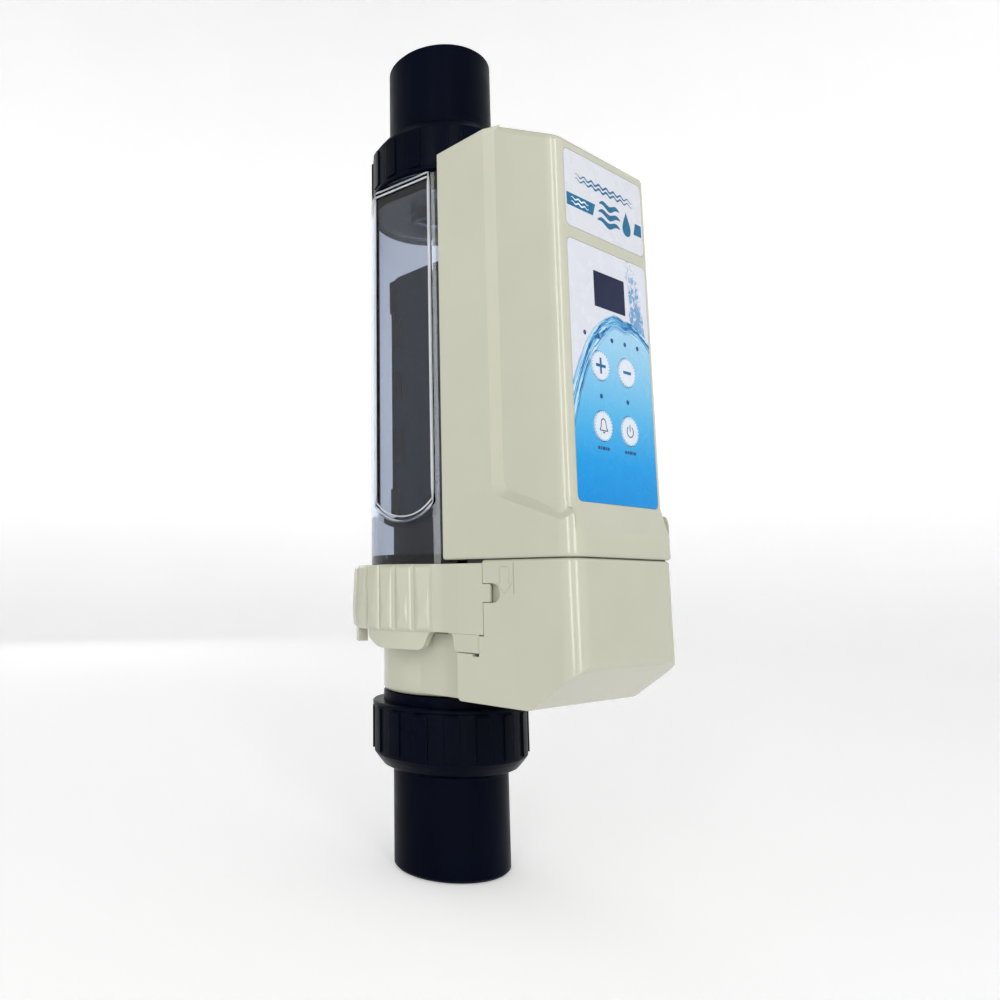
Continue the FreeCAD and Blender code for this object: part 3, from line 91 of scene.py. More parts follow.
# flat windows of the cell
WINDOW_TURN = math.radians(8.0)     # how far each flat is turned towards the front
WINDOW_HALF = 19.0 * MM
WINDOW_FACE = 37.9 * MM             # distance of the beads from the cell's axis
WINDOW_TOP = 364.3 * MM
WINDOW_FOOT = 175.6 * MM
WINDOW_SAG = 9.0 * MM
BEAD_STEPS = 24

# studio, in metres, watts and degrees
BOWL_FLAT_R = 2.2
BOWL_BEND_R = 1.2
BOWL_HEIGHT = 3.2
BOWL_SIDES = 64
BOWL_BEND_STEPS = 12
STRIP_AZIMUTHS = (26.0, 60.0)
STRIP_DISTANCE = 1.3
STRIP_SIZE = (0.22, 1.3)
STRIP_POWER = 5.2
LIGHT_AIM = (0.0, -0.04, 0.22)


# ---- node helpers ---------------------------------------------------------------------------------
def new_material(name):
    """A node material that holds only its shader: returns it with its tree and that shader."""
    material = bpy.data.materials.new(name)
    material.use_nodes = True
    tree = material.node_tree
    shader = tree.nodes["Principled BSDF"]
    return material, tree, shader


def link(tree, source, target):
    tree.links.new(source, target)


def object_coordinates(tree):
    return tree.nodes.new("ShaderNodeTexCoord").outputs["Object"]


def noise(tree, scale, detail=4.0, roughness=0.5, vector=None, distortion=0.0):
    node = tree.nodes.new("ShaderNodeTexNoise")
    node.inputs["Scale"].default_value = scale
    node.inputs["Detail"].default_value = detail
    node.inputs["Roughness"].default_value = roughness
    node.inputs["Distortion"].default_value = distortion
    link(tree, vector or object_coordinates(tree), node.inputs["Vector"])
    return node.outputs["Fac"]


def stretched(tree, scale):
    """Object coordinates scaled unevenly, for grain that runs one way."""
    node = tree.nodes.new("ShaderNodeMapping")
    node.inputs["Scale"].default_value = scale
    link(tree, object_coordinates(tree), node.inputs["Vector"])
    return node.outputs["Vector"]


def ramp(tree, factor, stops):
    """Colour ramp through (position, colour) stops."""
    node = tree.nodes.new("ShaderNodeValToRGB")
    elements = node.color_ramp.elements
    while len(elements) < len(stops):
        elements.new(0.5)
    for element, (position, colour) in zip(elements, stops):
        element.position = position
        element.color = (*colour, 1.0) if len(colour) == 3 else colour
    link(tree, factor, node.inputs["Fac"])
    return node.outputs["Color"]


def spread(tree, factor, low, high, from_low=0.3, from_high=0.7):
    """Maps a noise value to a range of a shader input."""
    node = tree.nodes.new("ShaderNodeMapRange")
    node.inputs["From Min"].default_value = from_low
    node.inputs["From Max"].default_value = from_high
    node.inputs["To Min"].default_value = low
    node.inputs["To Max"].default_value = high
    link(tree, factor, node.inputs["Value"])
    return node.outputs["Result"]


def maths(tree, operation, first, second=None, third=None):
    node = tree.nodes.new("ShaderNodeMath")
    node.operation = operation
    for socket, value in zip(node.inputs, (first, second, third)):
        if value is None:
            continue
        if isinstance(value, (int, float)):
            socket.default_value = value
        else:
            link(tree, value, socket)
    return node.outputs["Value"]


def mix(tree, factor, first, second):
    node = tree.nodes.new("ShaderNodeMix")
    node.data_type = "RGBA"
    if isinstance(factor, (int, float)):
        node.inputs["Factor"].default_value = factor
    else:
        link(tree, factor, node.inputs["Factor"])
    for socket, value in ((node.inputs[6], first), (node.inputs[7], second)):
        if isinstance(value, tuple):
            socket.default_value = (*value, 1.0)
        else:
            link(tree, value, socket)
    return node.outputs[2]


def soft_edges(tree, radius, samples=4):
    """Normal that rounds hard edges over a small radius."""
    node = tree.nodes.new("ShaderNodeBevel")
    node.samples = samples
    node.inputs["Radius"].default_value = radius
    return node.outputs["Normal"]


def bump(tree, shader, height, strength, distance, normal=None):
    node = tree.nodes.new("ShaderNodeBump")
    node.inputs["Strength"].default_value = strength
    node.inputs["Distance"].default_value = distance
    link(tree, height, node.inputs["Height"])
    if normal is not None:
        link(tree, normal, node.inputs["Normal"])
    link(tree, node.outputs["Normal"], shader.inputs["Normal"])


# ---- materials ------------------------------------------------------------------------------------
def moulded_plastic(name, colour, shade, rough, edge=0.45 * MM, peel=0.25, specular=0.5):
    """Injection-moulded plastic: faint mottling, orange peel, uneven gloss and fine handling scuffs."""
    material, tree, shader = new_material(name)
    mottle = noise(tree, 18.0, 3.0)
    base = ramp(tree, mottle, [(0.3, shade), (0.7, colour)])
    scuffs = noise(tree, 1.0, 6.0, 0.7, stretched(tree, (160.0, 160.0, 45.0)), 0.8)
    scuffed = spread(tree, scuffs, 0.0, 0.35, 0.62, 0.72)
    link(tree, mix(tree, scuffed, base, shade), shader.inputs["Base Color"])
    handling = noise(tree, 60.0, 5.0, 0.6)
    gloss = spread(tree, handling, rough[0], rough[1])
    link(tree, maths(tree, "MULTIPLY_ADD", scuffed, 0.3, gloss), shader.inputs["Roughness"])
    shader.inputs["Specular IOR Level"].default_value = specular
    fine = noise(tree, 900.0, 2.0)
    bump(tree, shader, fine, peel, 0.02 * MM, soft_edges(tree, edge) if edge else None)
    return material


def brushed_metal(name, colour, rough, grain=(40.0, 40.0, 900.0)):
    material, tree, shader = new_material(name)
    shader.inputs["Metallic"].default_value = 1.0
    lines = noise(tree, 1.0, 3.0, 0.5, stretched(tree, grain))
    dark = tuple(0.8 * c for c in colour)
    link(tree, ramp(tree, lines, [(0.3, dark), (0.7, colour)]), shader.inputs["Base Color"])
    link(tree, spread(tree, lines, rough[0], rough[1]), shader.inputs["Roughness"])
    bump(tree, shader, lines, 0.2, 0.02 * MM)
    return material


def clear_plastic():
    """Clear moulded cell wall with a cool tint and faint flow marks."""
    material, tree, shader = new_material("clear_cell")
    shader.inputs["Transmission Weight"].default_value = 1.0
    shader.inputs["IOR"].default_value = 1.42
    shader.inputs["Specular IOR Level"].default_value = 0.3
    tint = noise(tree, 14.0, 2.0)
    link(tree, ramp(tree, tint, [(0.3, (0.89, 0.91, 0.94)), (0.7, (0.93, 0.94, 0.96))]),
         shader.inputs["Base Color"])
    link(tree, spread(tree, noise(tree, 45.0, 3.0), 0.01, 0.04), shader.inputs["Roughness"])
    bump(tree, shader, noise(tree, 70.0, 2.0), 0.05, 0.1 * MM)
    smoke = tree.nodes.new("ShaderNodeVolumeAbsorption")
    smoke.inputs["Color"].default_value = (0.16, 0.26, 0.44, 1.0)
    smoke.inputs["Density"].default_value = 130.0
    link(tree, smoke.outputs["Volume"], tree.nodes["Material Output"].inputs["Volume"])
    return material


def pale_highlight_bead():
    """Rounded, lightly frosted ridge of the same clear plastic, coloured pale as a painted highlight along
    the window's edges.
    """
    material, tree, shader = new_material("pale_highlight_bead")
    shader.inputs["Transmission Weight"].default_value = 0.45
    shader.inputs["IOR"].default_value = 1.42
    # pale base colour: a painted highlight on the window's rims
    tint = ramp(tree, noise(tree, 30.0, 2.0), [(0.3, (0.80, 0.83, 0.88)), (0.7, (0.88, 0.90, 0.93))])
    link(tree, tint, shader.inputs["Base Color"])
    link(tree, spread(tree, noise(tree, 90.0, 3.0), 0.12, 0.25), shader.inputs["Roughness"])
    bump(tree, shader, noise(tree, 300.0, 2.0), 0.05, 0.05 * MM)
    return material


def coated_plate():
    """Dark oxide coating on expanded titanium: a fine diamond mesh with cloudy deposits."""
    material, tree, shader = new_material("coated_titanium")
    shader.inputs["Specular IOR Level"].default_value = 0.05
    cloud = noise(tree, 55.0, 5.0, 0.6)
    link(tree, ramp(tree, cloud, [(0.25, (0.005, 0.016, 0.032)), (0.75, (0.012, 0.029, 0.052))]),
         shader.inputs["Base Color"])
    link(tree, spread(tree, cloud, 0.4, 0.65), shader.inputs["Roughness"])
    voronoi = tree.nodes.new("ShaderNodeTexVoronoi")
    voronoi.inputs["Scale"].default_value = 1.0
    link(tree, stretched(tree, (300.0, 450.0, 220.0)), voronoi.inputs["Vector"])
    bump(tree, shader, voronoi.outputs["Distance"], 0.5, 0.2 * MM)
    return material


CREAM = (0.470, 0.470, 0.378)
CREAM_SHADE = (0.446, 0.446, 0.353)
BLACK = (0.0008, 0.0022, 0.0080)
BLACK_SHADE = (0.0006, 0.0015, 0.0055)

PLAIN_PLASTICS = {
    "white_nylon": ((0.80, 0.80, 0.75), (0.72, 0.72, 0.66), (0.40, 0.55)),
    "winding_wrap": ((0.74, 0.56, 0.10), (0.62, 0.45, 0.07), (0.35, 0.5)),
    "capacitor_sleeve": ((0.02, 0.04, 0.17), (0.015, 0.03, 0.12), (0.25, 0.4)),
    "relay_case": ((0.04, 0.15, 0.42), (0.03, 0.11, 0.34), (0.35, 0.5)),
    "terminal_green": ((0.04, 0.30, 0.10), (0.03, 0.22, 0.08), (0.4, 0.55)),
    "lead_sheath": ((0.45, 0.025, 0.02), (0.36, 0.02, 0.015), (0.4, 0.55)),
    "ribbon_grey": ((0.36, 0.36, 0.38), (0.28, 0.28, 0.30), (0.4, 0.55)),
    "seal_rubber": ((0.014, 0.014, 0.015), (0.010, 0.010, 0.010), (0.6, 0.8)),
    "gasket_rubber": ((0.05, 0.05, 0.047), (0.03, 0.03, 0.03), (0.6, 0.8)),
    "circuit_board": ((0.012, 0.10, 0.035), (0.008, 0.07, 0.025), (0.25, 0.4)),
    "core_steel": ((0.10, 0.10, 0.105), (0.07, 0.07, 0.07), (0.45, 0.6)),
}


def plane_axes(tree):
    """The print's own axes: x across and z up, in millimetres."""
    split = tree.nodes.new("ShaderNodeSeparateXYZ")
    link(tree, object_coordinates(tree), split.inputs["Vector"])
    across = maths(tree, "MULTIPLY", split.outputs["X"], 1 / MM)
    up = maths(tree, "MULTIPLY", split.outputs["Z"], 1 / MM)
    return across, up


def arc_line(tree, across):
    """Height of the water line and how much it leans: a bow, steeper on the left of its crest."""
    off = maths(tree, "SUBTRACT", across, WAVE_CREST_X)
    square = maths(tree, "MULTIPLY", off, off)
    left = maths(tree, "MULTIPLY", maths(tree, "LESS_THAN", off, 0.0), WAVE_EXTRA_FALL_LEFT)
    fall = maths(tree, "ADD", left, WAVE_FALL)
    bow = maths(tree, "MULTIPLY", square, fall)
    slope = maths(tree, "MULTIPLY", maths(tree, "MULTIPLY", off, fall), 2.0)
    lean = maths(tree, "SQRT", maths(tree, "MULTIPLY_ADD", slope, slope, 1.0))
    return maths(tree, "SUBTRACT", WAVE_CREST_Z, bow), lean


def joined(tree, x, y, z=0.0):
    node = tree.nodes.new("ShaderNodeCombineXYZ")
    for socket, value in zip(node.inputs, (x, y, z)):
        if isinstance(value, float):
            socket.default_value = value
        else:
            link(tree, value, socket)
    return node.outputs["Vector"]


def pool_colour(tree, up):
    """The pool: pale under the wave and deep blue at the foot of the keypad."""
    return ramp(tree, spread(tree, up, 1.0, 0.0, *POOL_Z), [
        (0.0, (0.34, 0.56, 0.72)), (0.25, (0.22, 0.50, 0.71)), (0.55, (0.07, 0.39, 0.68)),
        (0.8, (0.004, 0.28, 0.65)), (1.0, (0.0, 0.235, 0.61))])


def strand_colour(tree, across, depth):
    """Dark and pale strands that stream along the wave."""
    flow = joined(tree, maths(tree, "MULTIPLY", across, 0.06), maths(tree, "MULTIPLY", depth, 0.62))
    strands = noise(tree, 1.0, 5.0, 0.62, flow, 0.9)
    return ramp(tree, strands, [
        (0.35, (0.004, 0.05, 0.17)), (0.44, (0.015, 0.14, 0.37)), (0.50, (0.08, 0.33, 0.58)),
        (0.56, (0.30, 0.55, 0.72)), (0.64, (0.62, 0.70, 0.76))])


def splash_mask(tree, across, up, depth):
    """Leaning plume of drops above the wave, on the right."""
    height = maths(tree, "SUBTRACT", up, WAVE_CREST_Z - 0.5)
    centre = maths(tree, "MULTIPLY_ADD", height, -SPLASH_LEAN, SPLASH_X)
    away = maths(tree, "ABSOLUTE", maths(tree, "SUBTRACT", across, centre))
    zone = maths(tree, "MULTIPLY", spread(tree, away, 1.0, 0.0, *SPLASH_HALF_W),
                 spread(tree, up, 1.0, 0.6, *SPLASH_Z))
    grain = joined(tree, maths(tree, "MULTIPLY", across, 0.42), maths(tree, "MULTIPLY", up, 0.26))
    drops = noise(tree, 1.0, 4.0, 0.6, grain, 1.4)
    spray = spread(tree, maths(tree, "MULTIPLY", drops, zone), 0.0, 0.85, 0.33, 0.40)
    return maths(tree, "MULTIPLY", spray, maths(tree, "LESS_THAN", depth, 0.0))


def keypad_print():
    """White film with a blue pool below a bowed wave of strands, and a splash at the right."""
    material, tree, shader = new_material("keypad_print")
    across, up = plane_axes(tree)
    line, lean = arc_line(tree, across)
    depth = maths(tree, "DIVIDE", maths(tree, "SUBTRACT", line, up), lean)
    along = maths(tree, "MULTIPLY", across, 0.075)
    wobble = maths(tree, "SUBTRACT", noise(tree, 1.0, 3.0, 0.6, joined(tree, along, 3.0)), 0.5)
    depth = maths(tree, "MULTIPLY_ADD", wobble, WAVE_WOBBLE, depth)
    thick = maths(tree, "MULTIPLY_ADD", across, -WAVE_TAPER, WAVE_THICKNESS)
    band = maths(tree, "MULTIPLY", spread(tree, depth, 0.0, 1.0, -0.9, 0.3),
                 spread(tree, maths(tree, "SUBTRACT", depth, thick), 1.0, 0.0, -1.5, 1.5))
    grain = noise(tree, 60.0, 2.0)
    paper = ramp(tree, grain, [(0.3, (0.600, 0.615, 0.675)), (0.7, (0.615, 0.630, 0.690))])
    inside = spread(tree, depth, 0.0, 1.0, -0.5, 0.1)
    picture = mix(tree, inside, paper, pool_colour(tree, up))
    picture = mix(tree, band, picture, strand_colour(tree, across, depth))
    picture = mix(tree, splash_mask(tree, across, up, depth), picture, (0.06, 0.24, 0.48))
    link(tree, picture, shader.inputs["Base Color"])
    shader.inputs["Specular IOR Level"].default_value = 0.12
    link(tree, spread(tree, noise(tree, 120.0, 3.0), 0.20, 0.32), shader.inputs["Roughness"])
    bump(tree, shader, noise(tree, 1500.0, 2.0), 0.1, 0.01 * MM)
    return material


def satin_film(name, colour, shade):
    """Printed film or screen-printed ink: slightly uneven in colour and gloss."""
    material, tree, shader = new_material(name)
    tint = noise(tree, 80.0, 3.0)
    link(tree, ramp(tree, tint, [(0.3, shade), (0.7, colour)]), shader.inputs["Base Color"])
    link(tree, spread(tree, noise(tree, 120.0, 3.0), 0.22, 0.36), shader.inputs["Roughness"])
    shader.inputs["Specular IOR Level"].default_value = 0.12
    bump(tree, shader, noise(tree, 1500.0, 2.0), 0.12, 0.01 * MM)
    return material


def dark_window():
    """Smoked window over the display."""
    material, tree, shader = new_material("dark_display")
    tint = ramp(tree, noise(tree, 70.0, 2.0), [(0.3, (0.007, 0.012, 0.040)), (0.7, (0.010, 0.016, 0.052))])
    link(tree, tint, shader.inputs["Base Color"])
    link(tree, spread(tree, noise(tree, 160.0, 3.0), 0.10, 0.20), shader.inputs["Roughness"])
    shader.inputs["Specular IOR Level"].default_value = 0.08
    return material


def build_materials():
    made = {name: moulded_plastic(name, *values, edge=0.0) for name, values in PLAIN_PLASTICS.items()}
    made["black_insulator"] = moulded_plastic("black_insulator", (0.006, 0.009, 0.014), (0.004, 0.006, 0.010),
                                              (0.42, 0.58), 0.0, 0.25, 0.04)
    made["cream_abs"] = moulded_plastic("cream_abs", CREAM, CREAM_SHADE, (0.09, 0.14), 0.5 * MM, 0.15)
    made["black_pvc"] = moulded_plastic("black_pvc", BLACK, BLACK_SHADE, (0.30, 0.42), 0.5 * MM, 0.3, 0.03)
    made["black_pvc_nut"] = moulded_plastic("black_pvc_nut", BLACK, BLACK_SHADE, (0.26, 0.38), 0.6 * MM, 0.3,
                                            0.04)
    made["clear_cell"] = clear_plastic()
    made["coated_titanium"] = coated_plate()
    made["bare_titanium"] = brushed_metal("bare_titanium", (0.42, 0.41, 0.38), (0.3, 0.5))
    made["steel_fastener"] = brushed_metal("steel_fastener", (0.58, 0.58, 0.57), (0.22, 0.4))
    made["sink_aluminium"] = brushed_metal("sink_aluminium", (0.72, 0.73, 0.74), (0.3, 0.5))
    made["keypad_print"] = keypad_print()
    made["name_print"] = satin_film("name_print", (0.605, 0.62, 0.67), (0.59, 0.605, 0.655))
    made["button_white"] = satin_film("button_white", (0.64, 0.69, 0.76), (0.61, 0.66, 0.73))
    made["dark_display"] = dark_window()
    made["led_lens"] = satin_film("led_lens", (0.03, 0.08, 0.22), (0.02, 0.05, 0.16))
    return made


def dress_frame(materials):
    """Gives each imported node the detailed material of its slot."""
    slots = {part["node"]: part["material_slot"] for part in frame["record"]["subparts"]}
    for name, node in frame["nodes"].items():
        for slot in node.material_slots:
            slot.link = "OBJECT"
            slot.material = materials[slots[name]]


materials = build_materials()
dress_frame(materials)


# ---- printed graphics as thin raised ink ----------------------------------------------------------
def mesh_piece(name, build, material, body):
    mesh = bpy.data.meshes.new(name)
    shape = bmesh.new()
    build(shape)
    bmesh.ops.recalc_face_normals(shape, faces=shape.faces)
    shape.to_mesh(mesh)
    shape.free()
    piece = bpy.data.objects.new(name, mesh)
    bpy.context.scene.collection.objects.link(piece)
    mesh.materials.append(material)
    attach(piece, body)
    return piece


def add_plate(shape, outline, y_front, thickness):
    """Thin plate facing -Y from a closed outline of (x, z) points."""
    front = [shape.verts.new((x, y_front, z)) for x, z in outline]
    back = [shape.verts.new((x, y_front + thickness, z)) for x, z in outline]
    shape.faces.new(front)
    shape.faces.new(list(reversed(back)))
    count = len(outline)
    for i in range(count):
        j = (i + 1) % count
        shape.faces.new((front[j], front[i], back[i], back[j]))


def add_ring(shape, x, z, inner, outer, y_front, thickness, start=0.0, end=2 * math.pi, steps=48):
    """Flat ring or arc, facing -Y."""
    rows = []
    for i in range(steps + 1):
        angle = start + (end - start) * i / steps
        c, s = math.cos(angle), math.sin(angle)
        rows.append([shape.verts.new((x + r * c, y, z + r * s))
                     for r, y in ((inner, y_front), (outer, y_front), (outer, y_front + thickness),
                                  (inner, y_front + thickness))])
    for a, b in zip(rows, rows[1:]):
        for k in range(4):
            m = (k + 1) % 4
            shape.faces.new((a[k], a[m], b[m], b[k]))
    if end - start < 2 * math.pi - 1e-6:
        shape.faces.new(rows[0])
        shape.faces.new(list(reversed(rows[-1])))
    else:
        bmesh.ops.remove_doubles(shape, verts=shape.verts, dist=1e-7)


def box_outline(x0, x1, z0, z1):
    return [(x0, z0), (x1, z0), (x1, z1), (x0, z1)]


navy = satin_film("ink_navy", (0.020, 0.045, 0.12), (0.016, 0.035, 0.10))
blue = satin_film("ink_blue", (0.012, 0.13, 0.32), (0.010, 0.10, 0.27))
teal = satin_film("ink_teal", (0.008, 0.13, 0.26), (0.006, 0.11, 0.22))
sky_ink = satin_film("ink_sky", (0.10, 0.42, 0.68), (0.08, 0.36, 0.60))
white_ink = satin_film("ink_white", (0.74, 0.82, 0.88), (0.70, 0.78, 0.84))

KEYS = {"plus_button": "plus_key", "minus_button": "minus_key", "bell_button": "bell_key",
        "power_button": "power_key"}


def key_face(node):
    low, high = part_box(node)
    return (low[0] + high[0]) / 2, low[1] - INK_T, (low[2] + high[2]) / 2


def plus_icon(shape, x, y, z):
    arm, half = PLUS_ARM, STROKE_HALF
    outline = [(x - arm, z - half), (x - half, z - half), (x - half, z - arm), (x + half, z - arm),
               (x + half, z - half), (x + arm, z - half), (x + arm, z + half), (x + half, z + half),
               (x + half, z + arm), (x - half, z + arm), (x - half, z + half), (x - arm, z + half)]
    add_plate(shape, outline, y, INK_T)


def minus_icon(shape, x, y, z):
    outline = box_outline(x - MINUS_ARM, x + MINUS_ARM, z - STROKE_HALF, z + STROKE_HALF)
    add_plate(shape, outline, y, INK_T)


def bell_icon(shape, x, y, z):
    """Outline bell: dome and flare as a line, a base bar and a clapper."""
    half = [(0.0, 3.3), (1.0, 3.0), (1.7, 2.1), (1.9, 0.6), (2.2, -0.9), (2.9, -1.9)]
    for side in (-1, 1):
        points = [(x + side * across * MM, z + up * MM) for across, up in half]
        for (ax, az), (bx, bz) in zip(points, points[1:]):
            length = math.hypot(bx - ax, bz - az)
            nx, nz = (bz - az) / length * LINE_HALF, -(bx - ax) / length * LINE_HALF
            outline = [(ax - nx, az - nz), (bx - nx, bz - nz), (bx + nx, bz + nz), (ax + nx, az + nz)]
            add_plate(shape, outline, y, INK_T)
    add_plate(shape, box_outline(x - 3.1 * MM, x + 3.1 * MM, z - 2.4 * MM, z - 1.9 * MM), y, INK_T)
    add_ring(shape, x, z - 2.7 * MM, 0.0001 * MM, 0.8 * MM, y, INK_T, math.pi, 2 * math.pi - 0.001, 12)


def power_icon(shape, x, y, z):
    """Open circle with an upright stroke in its gap."""
    gap = 0.6
    start, end = math.pi / 2 + gap, 5 * math.pi / 2 - gap
    add_ring(shape, x, z - 0.2 * MM, 2.3 * MM, 2.85 * MM, y, INK_T, start, end, 36)
    add_plate(shape, box_outline(x - LINE_HALF, x + LINE_HALF, z - 0.1 * MM, z + 3.1 * MM), y, INK_T)


ICONS = {"plus_button": plus_icon, "minus_button": minus_icon, "bell_button": bell_icon,
         "power_button": power_icon}


def key_edge(shape, x, y, z):
    """Scalloped rim of the key's face, as a ring of short dashes."""
    dash = math.pi / KEY_DASHES
    for i in range(KEY_DASHES):
        start = 2 * dash * i
        add_ring(shape, x, z, *KEY_DASH_R, y, INK_T, start, start + dash, 3)


for node, body in KEYS.items():
    icon_ink = blue if node in ("plus_button", "minus_button") else navy
    mesh_piece(node + "_icon", lambda s, n=node: ICONS[n](s, *key_face(n)), icon_ink, body)
    mesh_piece(node + "_dashes", lambda s, n=node: key_edge(s, *key_face(n)), sky_ink, body)


def caption_bars(shape):
    """Small broken bars below the lower keys, where a caption would stand."""
    y = overlay_low[1] - INK_T
    for node in ("bell_button", "power_button"):
        x, _, z = key_face(node)
        left = x - CAPTION_HALF_W
        for width in CAPTION_BARS:
            outline = box_outline(left, left + width * MM, z + CAPTION_Z[0], z + CAPTION_Z[1])
            add_plate(shape, outline, y, INK_T)
            left += (width + CAPTION_GAP) * MM


mesh_piece("caption_bars", caption_bars, navy, "base")


# ---- name label: generic water mark, no lettering -------------------------------------------------
def ribbon_outline(x0, x1, z_mid, rise, thick, steps=40, waves=1.0, taper=True):
    upper, lower = [], []
    for i in range(steps + 1):
        t = i / steps
        x = x0 + (x1 - x0) * t
        z = z_mid + rise * math.sin(2 * math.pi * waves * t)
        half = thick * (math.sin(math.pi * t) ** 0.6 if taper else 1.0) + 0.01 * MM
        upper.append((x, z + half))
        lower.append((x, z - half))
    return lower + upper[::-1]


def drop_outline(x, z, size, steps=28):
    """Water drop with its point up."""
    points = []
    for i in range(steps):
        a = 2 * math.pi * i / steps
        r = math.sin(a / 2) ** 1.6
        points.append((x - size * 0.8 * math.sin(a) * r, z + size * (math.cos(a) - 0.1)))
    return points


label_y = name_low[1] - INK_T
label_z0 = name_low[2]


def name_bars(shape):
    """Solid bars left and right of the emblem."""
    z0, z1 = label_z0 + 10.0 * MM, label_z0 + 16.2 * MM
    add_plate(shape, [(-30.6 * MM, z0), (-10.5 * MM, z0), (-8.2 * MM, z1), (-30.6 * MM, z1)], label_y, INK_T)
    add_plate(shape, [(23.6 * MM, z0), (30.6 * MM, z0), (30.6 * MM, z1), (25.4 * MM, z1)], label_y, INK_T)


def name_emblem(shape):
    """Stacked wave ribbons and a drop."""
    for level, x0, x1 in ((9.2, -7.0, 12.0), (13.6, -6.0, 12.6), (18.0, -5.0, 12.0)):
        outline = ribbon_outline(x0 * MM, x1 * MM, label_z0 + level * MM, 0.9 * MM, 1.5 * MM, waves=1.5)
        add_plate(shape, outline, label_y, INK_T)
    add_plate(shape, drop_outline(17.6 * MM, label_z0 + 14.2 * MM, 6.4 * MM), label_y, INK_T)


def name_ripples(shape):
    """Fine double ripple across the top of the label."""
    for level, x0, x1 in ((26.6, -24.0, 24.0), (24.4, -24.0, 24.0)):
        outline = ribbon_outline(x0 * MM, x1 * MM, label_z0 + level * MM, 0.75 * MM, 0.6 * MM, 96, 8.0)
        add_plate(shape, outline, label_y, INK_T)


def bar_waves(shape):
    """Pale ripples on the left bar, a hair above it."""
    for level in (12.0, 14.2):
        outline = ribbon_outline(-27.5 * MM, -13.5 * MM, label_z0 + level * MM, 0.45 * MM, 0.4 * MM, 48, 3.0)
        add_plate(shape, outline, label_y - INK_T, INK_T)


mesh_piece("name_bars", name_bars, teal, "base")
mesh_piece("name_emblem", name_emblem, teal, "base")
mesh_piece("name_ripples", name_ripples, teal, "base")
mesh_piece("bar_waves", bar_waves, white_ink, "base")


# ---- window beads: pale ridges that paint the window's highlights ---------------------------------
def add_tube(shape, path, radius, sides=10):
    """Round bead along an open path of points, drawn in at both ends."""
    rows = []
    for i, point in enumerate(path):
        before, after = path[max(i - 1, 0)], path[min(i + 1, len(path) - 1)]
        ahead = (after - before).normalized()
        across = ahead.cross(Vector((0, 0, 1)))
        if across.length < 1e-3:
            across = ahead.cross(Vector((1, 0, 0)))
        across.normalize()
        upward = across.cross(ahead)
        size = radius * (0.3 if i in (0, len(path) - 1) else 1.0)
        rows.append([shape.verts.new(point + size * (math.cos(a) * across + math.sin(a) * upward))
                     for a in (2 * math.pi * k / sides for k in range(sides))])
    for a, b in zip(rows, rows[1:]):
        for k in range(sides):
            m = (k + 1) % sides
            shape.faces.new((a[k], a[m], b[m], b[k]))
    shape.faces.new(rows[0])
    shape.faces.new(list(reversed(rows[-1])))


def on_window(side, along, z):
    """Point on the +X window (side 1) or the -X window (side -1); along runs from the front to the rear."""
    c, s = math.cos(WINDOW_TURN), math.sin(WINDOW_TURN)
    return Vector((side * (WINDOW_FACE * c + along * s), along * c - WINDOW_FACE * s, z))


def foot_height(along, drop=0.0):
    """Height of the arc that closes the window below."""
    radius = (WINDOW_HALF ** 2 + WINDOW_SAG ** 2) / (2 * WINDOW_SAG)
    return WINDOW_FOOT + radius - math.sqrt(radius ** 2 - along ** 2) - drop


def window_beads(shape, side):
    """Ridges up both edges, a double line round the foot and two lines across the top, all pale as painted
    highlights.
    """
    sweep = [WINDOW_HALF * (2 * i / BEAD_STEPS - 1) for i in range(BEAD_STEPS + 1)]
    corner = foot_height(WINDOW_HALF)
    heights = [corner + (WINDOW_TOP - corner) * i / BEAD_STEPS for i in range(BEAD_STEPS + 1)]
    for edge, radius in ((-1, 0.9 * MM), (1, 0.7 * MM)):
        add_tube(shape, [on_window(side, edge * WINDOW_HALF, z) for z in heights], radius)
    for drop, radius in ((0.0, 0.7 * MM), (-2.6 * MM, 0.45 * MM)):
        add_tube(shape, [on_window(side, a, foot_height(a, drop)) for a in sweep], radius)
    for z in (WINDOW_TOP, WINDOW_TOP - 2.6 * MM):
        add_tube(shape, [on_window(side, a, z) for a in sweep], 0.55 * MM)


# pale beads on both windows: painted highlights along the rims
for side_name, side in (("left", -1), ("right", 1)):
    bead = mesh_piece("window_bead_" + side_name, lambda s, k=side: window_beads(s, k), pale_highlight_bead(),
                      "base")
    for face in bead.data.polygons:
        face.use_smooth = True


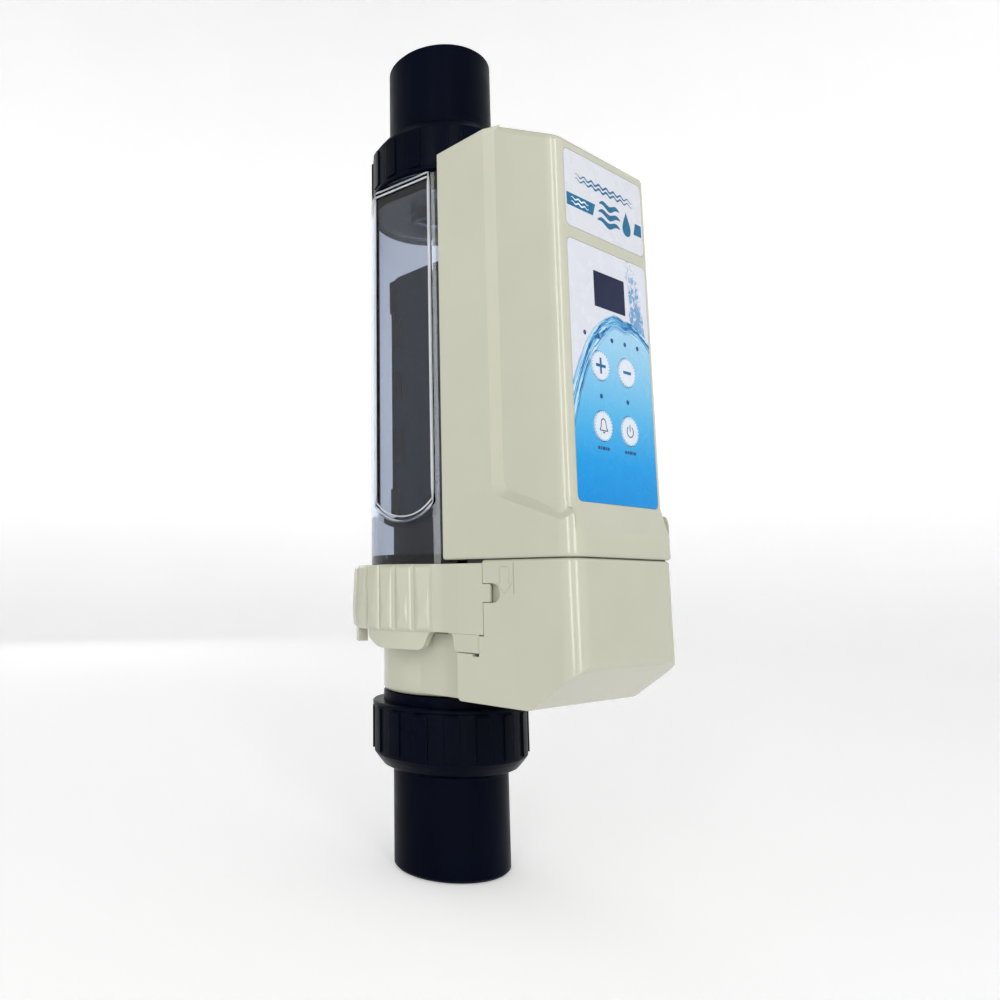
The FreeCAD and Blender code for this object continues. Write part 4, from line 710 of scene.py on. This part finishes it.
# ---- studio ---------------------------------------------------------------------------------------
def studio_bowl():
    """Round pale floor that curves up into a wall on all sides; the paper glows more towards the top."""
    floor_z = cad_low.z - 0.5 * MM
    profile = [(BOWL_FLAT_R * 0.5, floor_z), (BOWL_FLAT_R, floor_z)]
    for i in range(1, BOWL_BEND_STEPS + 1):
        a = math.pi / 2 * i / BOWL_BEND_STEPS
        profile.append((BOWL_FLAT_R + BOWL_BEND_R * math.sin(a), floor_z + BOWL_BEND_R * (1 - math.cos(a))))
    profile.append((BOWL_FLAT_R + BOWL_BEND_R, floor_z + BOWL_HEIGHT))
    mesh = bpy.data.meshes.new("studio_bowl")
    shape = bmesh.new()
    turns = [2 * math.pi * k / BOWL_SIDES for k in range(BOWL_SIDES)]
    rings = [[shape.verts.new((r * math.cos(a), r * math.sin(a), z)) for a in turns] for r, z in profile]
    centre = shape.verts.new((0, 0, floor_z))
    for k in range(BOWL_SIDES):
        shape.faces.new((centre, rings[0][k], rings[0][(k + 1) % BOWL_SIDES]))
    for low, high in zip(rings, rings[1:]):
        for k in range(BOWL_SIDES):
            n = (k + 1) % BOWL_SIDES
            shape.faces.new((low[k], low[n], high[n], high[k]))
    bmesh.ops.recalc_face_normals(shape, faces=shape.faces)
    bmesh.ops.reverse_faces(shape, faces=shape.faces)
    shape.to_mesh(mesh)
    shape.free()
    for face in mesh.polygons:
        face.use_smooth = True
    bowl = bpy.data.objects.new("studio_bowl", mesh)
    bpy.context.scene.collection.objects.link(bowl)
    material, tree, shader = new_material("studio_paper")
    link(tree, ramp(tree, noise(tree, 3.0, 2.0), [(0.3, (0.86, 0.86, 0.86)), (0.7, (0.88, 0.88, 0.88))]),
         shader.inputs["Base Color"])
    shader.inputs["Roughness"].default_value = 0.9
    height = tree.nodes.new("ShaderNodeSeparateXYZ")
    link(tree, object_coordinates(tree), height.inputs["Vector"])
    shader.inputs["Emission Color"].default_value = (1.0, 1.0, 1.0, 1.0)
    link(tree, spread(tree, height.outputs["Z"], 0.14, 0.42, -0.4, 0.5), shader.inputs["Emission Strength"])
    mesh.materials.append(material)


def soft_box(name, place, target, width, height, power):
    data = bpy.data.lights.new(name, "AREA")
    data.shape = "RECTANGLE"
    data.size, data.size_y = width, height
    data.energy = power
    lamp = bpy.data.objects.new(name, data)
    lamp.location = place
    lamp.rotation_euler = (Vector(target) - Vector(place)).to_track_quat("-Z", "Y").to_euler()
    bpy.context.scene.collection.objects.link(lamp)


def strip_light(name, azimuth):
    """Tall narrow light; the azimuth runs from the front (-Y) towards the left side (-X)."""
    angle = math.radians(azimuth)
    place = (-STRIP_DISTANCE * math.sin(angle), -STRIP_DISTANCE * math.cos(angle), 0.5)
    soft_box(name, place, (0.0, 0.0, 0.5), *STRIP_SIZE, STRIP_POWER)


def studio():
    studio_bowl()
    soft_box("back_light", (0.3, 1.6, 0.8), LIGHT_AIM, 1.0, 1.0, 2.4)
    soft_box("top_light", (0.0, -0.1, 2.2), (0.0, 0.0, 0.0), 2.4, 2.4, 6.5)
    for i, azimuth in enumerate(STRIP_AZIMUTHS):
        strip_light("strip_%d" % i, azimuth)
    world = bpy.data.worlds.new("studio")
    bpy.context.scene.world = world
    world.use_nodes = True
    background = world.node_tree.nodes["Background"]
    background.inputs["Color"].default_value = (1.0, 1.0, 1.0, 1.0)
    background.inputs["Strength"].default_value = 0.12
    bpy.context.scene.view_settings.view_transform = "Standard"


def camera():
    """The viewpoint: left of and in front of the object, looking slightly up; angles in radians."""
    place = Vector((-0.3335, -0.3201, 0.1422))
    yaw, pitch, roll = 0.6651, 0.1632, 0.0062
    focal = 0.8249          # focal length over frame width
    shift = (0.170, -0.050)
    forward = Vector((math.sin(yaw) * math.cos(pitch), math.cos(yaw) * math.cos(pitch), math.sin(pitch)))
    right = Vector((math.cos(yaw), -math.sin(yaw), 0.0))
    up = right.cross(forward)
    tilted_right = right * math.cos(roll) + up * math.sin(roll)
    tilted_up = up * math.cos(roll) - right * math.sin(roll)
    data = bpy.data.cameras.new("camera")
    data.sensor_width = 36.0
    data.lens = focal * data.sensor_width
    data.shift_x, data.shift_y = shift
    data.clip_start = 0.01
    data.clip_end = 50.0
    lens = bpy.data.objects.new("camera", data)
    turn = Matrix((tilted_right, tilted_up, -forward)).transposed()
    lens.matrix_world = Matrix.Translation(place) @ turn.to_4x4()
    bpy.context.scene.collection.objects.link(lens)
    bpy.context.scene.camera = lens


studio()
camera()
